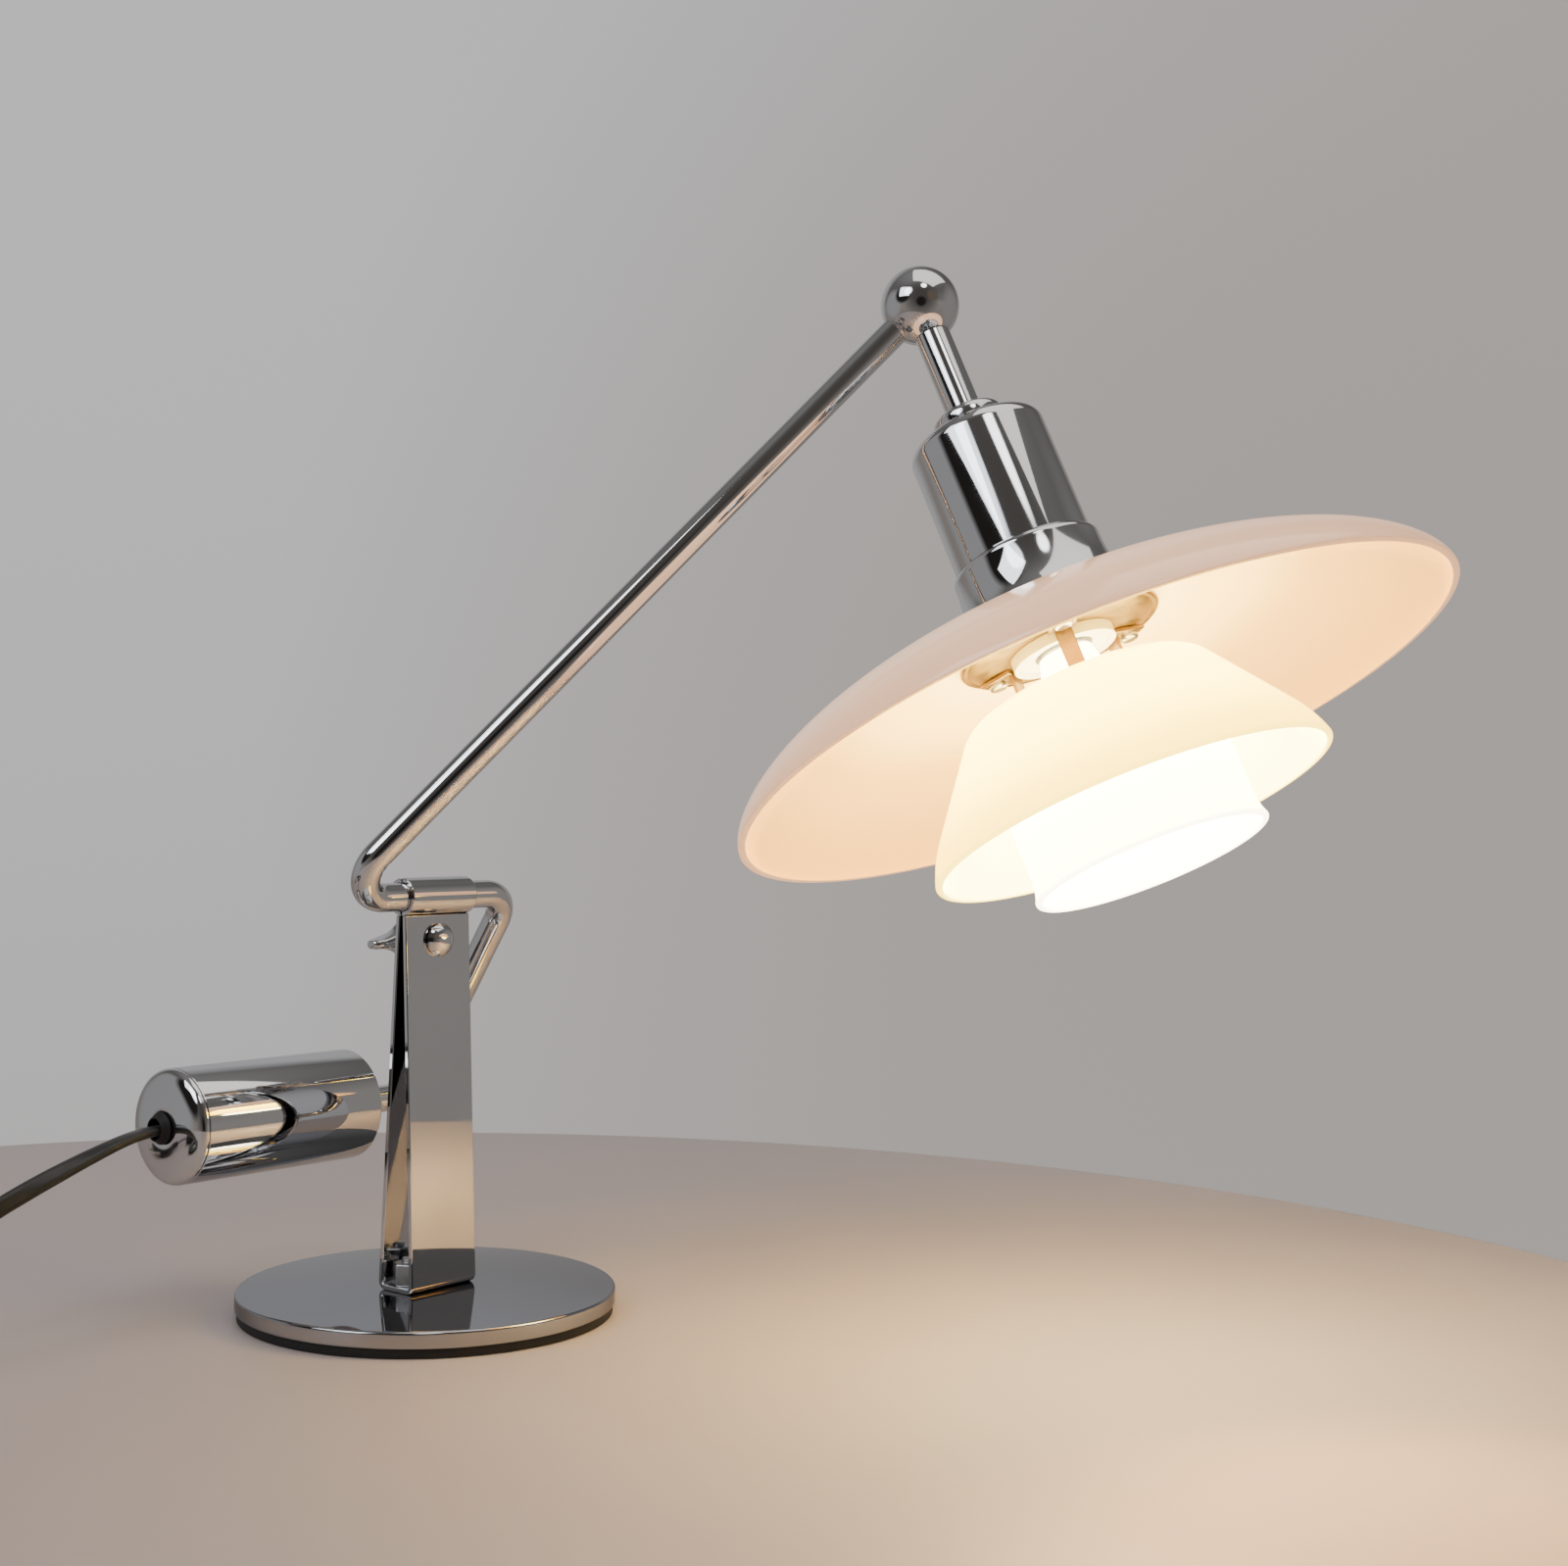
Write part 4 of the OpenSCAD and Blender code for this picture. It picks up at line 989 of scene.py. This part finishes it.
def makeGallery(g):
    plateS = underGlass(g["radius"] - 3) + g["gasket"] + 0.2
    low = plateS + g["thick"]
    r = g["radius"]
    # a pressed dish: rolled rim, a flat land, a step down to the lampholder's neck
    outline = ([(g["hole"], plateS), (18, plateS), (r - 2.2, plateS - 0.1)]
               + [(r - 0.9 + 0.85 * cos(radians(a)), plateS + 0.1 + 0.85 * sin(radians(a)))
                  for a in range(-120, 121, 24)]
               + [(r - 2.0, plateS + 0.75), (r - 3.4, low - 0.25), (20, low - 0.05), (17.2, low - 0.05),
                  (16.4, low), (g["hole"], low)])
    turnedPiece("galleryPlate", down(outline), headPlace, 128, satinGoldShaded, "head",
                ["gallery_plate"], sharpAngle=30)

    midS = rimMid - shades["midDepth"] + shades["glass"] + 0.7
    lowS = rimLow - shades["lowDepth"] + shades["glass"] + 0.4
    t = g["legThick"]
    a = g["legRadius"]
    root = low + 0.05
    # one strip: a screwed foot under the plate, an upright, and two hooks under the glass necks
    stripBoxes = [
        ((a, g["screwAt"] + 3.2), g["footWidth"], (root, root + t)),
        ((a, a + t), g["legWidth"], (root, lowS + t)),
        ((a, g["tabReach"]), g["legWidth"], (midS, midS + t)),
        ((a, g["tabReach"]), g["legWidth"], (lowS, lowS + t)),
    ]
    verts = []
    faces = []
    for (x0, x1), w, (s0, s1) in stripBoxes:
        start = len(verts)
        verts += [Vector((x, y, z)) * mm for z in (-s1, -s0) for x, y in
                  ((x0, -w / 2), (x1, -w / 2), (x1, w / 2), (x0, w / 2))]
        faces += [tuple(start + k for k in f) for f in
                  ((0, 3, 2, 1), (4, 5, 6, 7), (0, 1, 5, 4), (1, 2, 6, 5), (2, 3, 7, 6), (3, 0, 4, 7))]
    seed = meshFrom("carrierSeed", verts, faces, 30)
    spread = {"Count": 3, "First Angle": radians(g["legAngle"]), "Material": satinGoldShaded}
    mesh = grown("carrierStrips", seed, around, spread, headPlace, 30)
    piece = bevelled(addObject("carrierStrips", mesh), 0.25)
    finishPiece(piece, "head", ["shade_legs"])

    screwPlace = Matrix.Translation((g["screwAt"] * mm, 0, 0))
    screwOutline = (
        [(0, -root - t - 1.5), (1.2, -root - t - 1.5)]
        + [(1.7 + cos(radians(k)), -root - t - 0.5 - sin(radians(k))) for k in range(90, -1, -30)]
        + [(2.7, -root - t), (1.55, -root - t), (1.55, -plateS - 0.1), (0, -plateS - 0.1)])
    seed = turned("screwSeed", screwOutline, screwPlace, 24, closed=False)
    mesh = grown("carrierScrews", seed, around, {**spread, "Material": zinc}, headPlace, 35)
    finishPiece(addObject("carrierScrews", mesh), "head", ["leg_screws"])
    return low


galleryLow = makeGallery(gallery)

bulb = {"radius": 13.0, "length": 44.0, "neck": 7.4}


def makeBulb(b):
    start = galleryLow + 3.1
    r = b["radius"]
    outline = ([(0, start), (b["neck"], start), (b["neck"] + 0.6, start + 2.5), (r - 3.2, start + 8),
                (r - 1.2, start + 13), (r - 0.2, start + 18), (r, start + 22)]
               + [(x, start + b["length"] - r + z) for z, x in arc(0, 0, r, 90, 0, 14)])
    turnedPiece("bulbGlass", down(outline), headPlace, 64, bulbWhite, "head",
                ["bulb_glass"], closed=False)


makeBulb(bulb)
print("gallery and bulb made")


# clamp: screw, wing nut, base nuts

clamp = {
    "drop": 12.3,
    "headRadius": 4.6,
    "headHeight": 3.2,
    "shank": 2.5,
    "washer": 0.8,
    "hub": 6.0,
    "hubHeight": 9.0,
    "wingTip": 3.6,
    "wingSpan": 27.6,
    "wingThick": 2.8,
    "wingTurn": 7.0,
}


def makeClamp(c):
    clampZ = hingeAt.z - c["drop"] * mm
    seat = -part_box("clamp_screw")[0].y / mm - c["headHeight"]
    # local z leaves the front plate
    outward = Matrix.Translation((0, 0, clampZ)) @ Matrix.Rotation(pi / 2, 4, "X")
    r = c["headRadius"]
    h = c["headHeight"]
    flat = h - 0.9
    ballR = (r * r + flat * flat) / (2 * flat)
    rise = math.degrees(math.asin(r / ballR))
    crown = [(x, seat + h - ballR + z) for x, z in arc(0, 0, ballR, 90 - rise, 90, 14)]
    end = -seat - c["washer"] - c["hubHeight"]
    screw = ([(0, end - 1.5), (c["shank"] - 0.5, end - 1.5), (c["shank"], end - 1.0), (c["shank"], seat),
              (r - 0.2, seat), (r, seat + 0.2)] + crown)
    turnedPiece("clampScrew", screw, outward, 96, chrome, "base",
                ["clamp_screw"], closed=False)

    start = seat + c["washer"] + 0.1
    back = (Matrix.Translation((0, start * mm, clampZ)) @ Matrix.Rotation(-pi / 2, 4, "X")
            @ Matrix.Rotation(radians(-c["wingTurn"]), 4, "Z"))
    r = c["hub"]
    h = c["hubHeight"]
    hub = [(0, 0), (r - 0.5, 0), (r, 0.5), (r, 2), (r - 0.8, h - 0.8), (r - 1.6, h), (0, h)]
    mesh = turned("wingNut", hub, Matrix.Identity(4), 96, closed=False)
    tip = c["wingTip"]
    far = c["wingSpan"] / 2
    half = c["wingThick"] / 2
    # each wing is a stack of slices: the front outline gives their thickness, low and high their depth
    front = [(0, r - 0.3), (r * 0.55, r - 0.4), (r * 0.8, r * 0.77), (r, r * 0.56), (r + 1.2, half + 1.25),
             (r + 2.5, half + 0.7), (r + 4.5, half + 0.1), (far - half, half), (far, half * 0.8)]
    low = [(0, 0.9), (r, 1.2)] + arc(far - tip, h - 2, tip, -50, -6, 7)
    high = ([(0, h - 0.6), (r - 0.6, h - 0.6), (far - tip - 1.2, h + 1.25)]
            + arc(far - tip, h - 2, tip, 100, 6, 12))

    def alongLine(line, x):
        for (x0, z0), (x1, z1) in zip(line, line[1:]):
            if x0 <= x <= x1:
                return z0 + (z1 - z0) * (x - x0) / max(x1 - x0, 1e-6)
        return line[-1][1]

    work = bmesh.new()
    work.from_mesh(mesh)
    sides = 20
    slices = 36
    for side in (1, -1):
        rings = []
        for i in range(slices + 1):
            x = 0.2 + (far - 0.35) * (1 - (1 - i / slices) ** 1.5)
            z0 = alongLine(low, x)
            z1 = alongLine(high, x)
            thick = alongLine(front, x)
            ring = []
            for k in range(sides):
                a = 2 * pi * k / sides
                y = thick * math.copysign(abs(cos(a)) ** 0.7, cos(a))
                z = (z0 + z1) / 2 + (z1 - z0) / 2 * math.copysign(abs(sin(a)) ** 0.7, sin(a))
                ring.append(work.verts.new(Vector((side * x, y, z)) * mm))
            rings.append(ring)
        for i in range(slices):
            for k in range(sides):
                after = (k + 1) % sides
                quad = (rings[i][k], rings[i][after], rings[i + 1][after], rings[i + 1][k])
                work.faces.new(quad if side > 0 else quad[::-1])
        work.faces.new(rings[0][::-1] if side > 0 else rings[0])
        work.faces.new(rings[-1] if side > 0 else rings[-1][::-1])
    bmesh.ops.recalc_face_normals(work, faces=work.faces)
    work.to_mesh(mesh)
    work.free()
    # cast look: the hub and the wings melt into each other
    cast = addObject("wingNutCast", mesh)
    melt = cast.modifiers.new("melt", "REMESH")
    melt.mode = "VOXEL"
    melt.voxel_size = 0.32 * mm
    soften = cast.modifiers.new("soften", "SMOOTH")
    soften.factor = 0.5
    soften.iterations = 9
    bpy.context.view_layer.update()
    final = bpy.data.meshes.new_from_object(cast.evaluated_get(bpy.context.evaluated_depsgraph_get()))
    bpy.data.objects.remove(cast)
    final.transform(back)
    final.materials.clear()
    smooth(final, 80)
    finishPiece(addObject("wingNut", final, chrome), "wing_nut", ["wing_nut"])


makeClamp(clamp)

fastening = {"boltAt": 7.2, "flats": 8.0, "height": 6.2, "bolt": 2.0, "thread": 0.7}


def makeBaseFastening(f):
    floor = discTop + strip["thick"]
    r = f["flats"] / 2 / cos(radians(30))
    top = floor + f["height"]
    hexagon = [(r * cos(radians(a)), r * sin(radians(a))) for a in range(0, 360, 60)]
    seed = extruded("nutSeed", [(x + f["boltAt"], y) for x, y in hexagon], floor, top, 20)
    pair = {"Count": 2, "First Angle": 0.0, "Material": zinc}
    mesh = grown("baseNuts", seed, around, pair, Matrix.Identity(4), 20)
    finishPiece(bevelled(addObject("baseNuts", mesh), 0.35, 3), "base", ["base_nuts"])
    bolt = [(0, 0.3), (3.4, 0.3), (3.9, 0.7), (4.0, 2.28), (f["bolt"], 2.28), (f["bolt"], top)]
    z = top
    while z < top + 1.1:
        bolt += [(f["bolt"], z + f["thread"] * 0.1), (f["bolt"] - 0.28, z + f["thread"] / 2)]
        z += f["thread"]
    bolt += [(f["bolt"] - 0.3, top + 1.3), (0, top + 1.3)]
    seed = turned("boltSeed", bolt, Matrix.Translation((f["boltAt"] * mm, 0, 0)), 32, closed=False)
    mesh = grown("baseBolts", seed, around, pair, Matrix.Identity(4), 30)
    finishPiece(addObject("baseBolts", mesh), "base", ["base_bolts"])


makeBaseFastening(fastening)
print("clamp and fastenings made")


# switch and plug, on the stored length of the cord

plug = {
    "tail": -188.0,
    "y": 193.0,
    "z": 6.5,
    "length": 34.0,
    "halfWidth": 13.0,
    "halfHeight": 6.35,
    "pinGap": 18.6,
    "pin": 2.0,
    "pinLength": 19.0,
    "relief": 18.0,
    "ribs": 6,
}


def makePlug(p):
    sides = 40
    wide = p["halfWidth"]
    tall = p["halfHeight"]
    far = p["length"]
    # each station: distance from the cord's end, half width, half height
    stations = [(0, 4.6, 4.4), (0.8, 5.4, 5.0), (5, 7.2, 5.9), (10, 10.4, 6.3), (15, wide - 0.6, tall),
                (19, wide - 0.05, tall), (26, wide, tall), (far - 1.4, wide - 0.05, tall - 0.05),
                (far - 0.4, wide - 0.6, tall - 0.45), (far, wide - 1.4, tall - 1.15)]
    verts = []
    for x, halfW, halfH in stations:
        for k in range(sides):
            a = 2 * pi * k / sides
            power = 0.55
            y = halfW * math.copysign(abs(cos(a)) ** power, cos(a))
            z = halfH * math.copysign(abs(sin(a)) ** power, sin(a))
            verts.append(Vector((p["tail"] + x, p["y"] + y, p["z"] + z)) * mm)
    mesh = meshFrom("plugBody", verts, skinFaces(len(stations), sides), 50)
    body = addObject("plugBody", mesh, plastic)
    finishPiece(body, "base", ["plug_body"])

    along = Matrix.Translation((0, p["y"] * mm, p["z"] * mm)) @ Matrix.Rotation(pi / 2, 4, "Y")
    start = p["tail"] + p["length"]
    r = p["pin"]
    end = start + p["pinLength"]
    pinOutline = [(0, start - 6), (r, start - 6), (r, end - 1.2), (r - 0.5, end - 0.3), (0, end)]
    seedPlace = Matrix.Rotation(-pi / 2, 4, "Z") @ Matrix.Translation((p["pinGap"] / 2 * mm, 0, 0))
    seed = turned("pinSeed", pinOutline, seedPlace, 32, closed=False)
    pair = {"Count": 2, "First Angle": 0.0, "Material": nickel}
    mesh = grown("plugPins", seed, around, pair, along, 40)
    finishPiece(addObject("plugPins", mesh), "base", ["plug_pins"])

    relief = [(2.3, p["tail"] - p["relief"])]
    for k in range(p["ribs"]):
        x = p["tail"] - p["relief"] + 0.3 + k * (p["relief"] - 0.6) / p["ribs"]
        r = 3.3 + 1.2 * k / p["ribs"]
        relief += [(r - 0.2, x), (r, x + 0.25), (r, x + 1.7), (r - 0.2, x + 1.95), (r - 0.7, x + 2.15),
                   (r - 0.7, x + 2.6)]
    relief += [(4.5, p["tail"] - 0.2), (4.5, p["tail"]), (2.3, p["tail"])]
    turnedPiece("plugRelief", relief, along, 48, rubber, "base",
                ["plug_relief"], sharpAngle=50)


makePlug(plug)

switch = {
    "x": -241.5,
    "y": 110.0,
    "length": 54.0,
    "halfWidth": 12.0,
    "corner": 5.0,
    "split": 7.5,
    "top": 14.0,
}


def makeSwitch(s):
    w = s["halfWidth"]
    r = s["corner"]
    y0 = s["y"]
    y1 = y0 + s["length"]
    plan = (arc(w - r, y0 + r, r, -90, 0, 8) + arc(w - r, y1 - r, r, 0, 90, 8)
            + arc(-w + r, y1 - r, r, 90, 180, 8) + arc(-w + r, y0 + r, r, 180, 270, 8))
    plan = [(x + s["x"], y) for x, y in plan]
    lower = addObject("switchBase", extruded("switchBase", plan, 0.1, s["split"] - 0.05), plastic)
    finishPiece(bevelled(lower, 0.9, 3, 60), "base", ["switch_base"])
    # the cover is cut for the rocker, then its edges are rounded
    cover = addObject("switchCoverBlank", extruded("switchCover", plan, s["split"] + 0.05, s["top"]))
    middle = (y0 + y1) / 2
    window = [(s["x"] - 5.3, middle - 8.3), (s["x"] + 5.3, middle - 8.3), (s["x"] + 5.3, middle + 8.3),
              (s["x"] - 5.3, middle + 8.3)]
    cutter = addObject("switchWindow", extruded("switchWindow", window, s["split"] + 1.2, s["top"] + 3))
    cut = cover.modifiers.new("window", "BOOLEAN")
    cut.operation = "DIFFERENCE"
    cut.object = cutter
    cut.solver = "EXACT"
    bpy.context.view_layer.update()
    mesh = bpy.data.meshes.new_from_object(cover.evaluated_get(bpy.context.evaluated_depsgraph_get()))
    bpy.data.objects.remove(cover)
    bpy.data.objects.remove(cutter)
    mesh.materials.clear()
    mesh.name = "switchCover"
    smooth(mesh, 35)
    piece = bevelled(addObject("switchCover", mesh, plastic), 0.9, 3, 60)
    finishPiece(piece, "base", ["switch_cover"])


makeSwitch(switch)
print("switch and plug made")


# finishes of the CAD pieces that stay

keptFinish = {
    "foot_pad": rubber,
    "clamp_washer": zinc,
    "arm_cable": sheath,
    "swivel_ring": zinc,
    "weight_core": brass,
    "weight_nut": zinc,
    "stem_cable": sheath,
    "holder_cup": porcelain,
    "holder_ring": porcelain,
    "holder_contact": brass,
    "bulb_cap": zinc,
    "neck_gasket": porcelain,
    "switch_rocker": rockerPlastic,
    "rocker_pin": zinc,
    "switch_screws": zinc,
}
for name, material in keptFinish.items():
    mesh = nodes[name].data
    mesh.materials.clear()
    mesh.materials.append(material)


# the cord's material, and the CAD cord pieces hidden

flexCord.data.materials.append(sheath)
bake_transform(flexCord)
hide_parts("cord", "cord_coil", "cord_tail", "cord_lead")


# floor, room and lights

def makeFloor():
    material, kit, shader, place = startMaterial("paleTable", Specular_IOR_Level=0.35)
    broad = kit.noise(place, 5, 4, 0.5)
    pale = kit.ramp(broad, [(0.35, (0.50, 0.425, 0.405)), (0.7, (0.525, 0.447, 0.422))])
    kit.link(pale, shader.inputs["Base Color"])
    kit.link(kit.span(broad, 0.3, 0.7, 0.5, 0.58), shader.inputs["Roughness"])
    kit.bump(kit.noise(place, 700, 3, 0.5), 0.03, 0.0003, shader)
    r = 420
    outline = [(0, -22)] + [(r - 6, -22)] + arc(r - 6, -11, 11, -90, 90, 14) + [(0, 0)]
    mesh = turned("table", outline, Matrix.Translation((-0.09, -0.05, -0.0002)), 160, closed=False)
    addObject("table", mesh, material)


makeFloor()


def makeRoom():
    # what the chrome mirrors: grey walls, a pale ceiling, a dim room behind the viewer and a window
    world = bpy.data.worlds.new("room")
    bpy.context.scene.world = world
    world.use_nodes = True
    tree = world.node_tree
    kit = Nodes(tree)
    background = tree.nodes["Background"]
    way = kit.add("ShaderNodeTexCoord").outputs["Generated"]
    split = kit.add("ShaderNodeSeparateXYZ")
    kit.link(way, split.inputs[0])
    height = kit.ramp(kit.span(split.outputs["Z"], -1, 1, 0, 1),
                      [(0.0, (0.20, 0.17, 0.15)), (0.46, (0.30, 0.27, 0.25)), (0.52, (0.30, 0.29, 0.275)),
                       (0.62, (0.20, 0.195, 0.185)), (0.8, (0.15, 0.145, 0.14)), (1.0, (0.26, 0.255, 0.25))])

    def patch(direction, inner, outer):
        dot = kit.add("ShaderNodeVectorMath", operation="DOT_PRODUCT")
        kit.link(way, dot.inputs[0])
        dot.inputs[1].default_value = Vector(direction).normalized()
        return kit.span(dot.outputs["Value"], outer, inner, 0, 1)

    def blend(mode, factor, below, colour):
        mix = kit.add("ShaderNodeMixRGB", blend_type=mode)
        kit.link(factor, mix.inputs[0])
        kit.link(below, mix.inputs[1])
        mix.inputs[2].default_value = (*colour, 1)
        return mix.outputs[0]

    behind = blend("MIX", patch((-0.79, -0.62, 0.25), 0.95, 0.55), height, (0.085, 0.077, 0.071))
    right = blend("MIX", patch((0.80, -0.60, 0.0), 0.93, 0.72), behind, (0.30, 0.285, 0.27))
    left = blend("MIX", patch((-0.62, 0.78, 0.05), 0.93, 0.84), right, (0.36, 0.36, 0.365))
    shelf = blend("MIX", patch((-0.30, -0.93, 0.35), 0.985, 0.95), left, (0.16, 0.125, 0.095))
    viewer = blend("MIX", patch((-0.79, -0.62, 0.02), 0.985, 0.955), shelf, (0.02, 0.018, 0.017))
    door = blend("MIX", patch((-0.90, 0.30, 0.40), 0.95, 0.90), viewer, (0.022, 0.019, 0.018))
    window = blend("MIX", patch((-1, 0.05, 0.62), 0.988, 0.98), door, (2.6, 2.7, 2.9))
    lamp = blend("MIX", patch((-0.55, -0.62, 0.95), 0.996, 0.990), window, (5.0, 5.0, 5.0))
    far = blend("MIX", patch((0.787, 0.617, 0.06), 0.90, 0.80), lamp, (0.50, 0.48, 0.46))
    cool = blend("MIX", patch((0.50, 0.80, 0.34), 0.99, 0.80), far, (0.64, 0.635, 0.655))
    wall = blend("MIX", patch((0.93, 0.36, 0.0), 0.99, 0.86), cool, (0.45, 0.41, 0.385))
    kit.link(wall, background.inputs["Color"])
    background.inputs["Strength"].default_value = 1.0


makeRoom()


def addLight(name, kind, place, aim, energy, colour, size, carrier=None):
    data = bpy.data.lights.new(name, kind)
    data.energy = energy
    data.color = colour
    if kind == "AREA":
        data.shape = "RECTANGLE"
        data.size = size[0]
        data.size_y = size[1]
    else:
        data.shadow_soft_size = size[0]
    light = bpy.data.objects.new(name, data)
    bpy.context.scene.collection.objects.link(light)
    light.location = place
    light.rotation_euler = (Vector(aim) - Vector(place)).to_track_quat("-Z", "Y").to_euler()
    if carrier:
        bpy.context.view_layer.update()
        light.parent = frame["bodies"][carrier]
    return data


addLight("windowLight", "AREA", (-1.3, 0.25, 1.1), (0, 0, 0.1), 7, (0.93, 0.96, 1.0), (0.9, 0.7))
addLight("ceilingLight", "AREA", (0.2, -0.4, 1.6), (0, 0, 0), 8, (1.0, 0.95, 0.90), (1.4, 1.4))
mouth = addLight("mouthLight", "SPOT", headPoint(168), (-0.03, -0.36, 0), 4.0, (1.0, 0.52, 0.18), (0.02,),
                 "head")
mouth.spot_size = radians(82)
mouth.spot_blend = 1.0
print("lights placed")
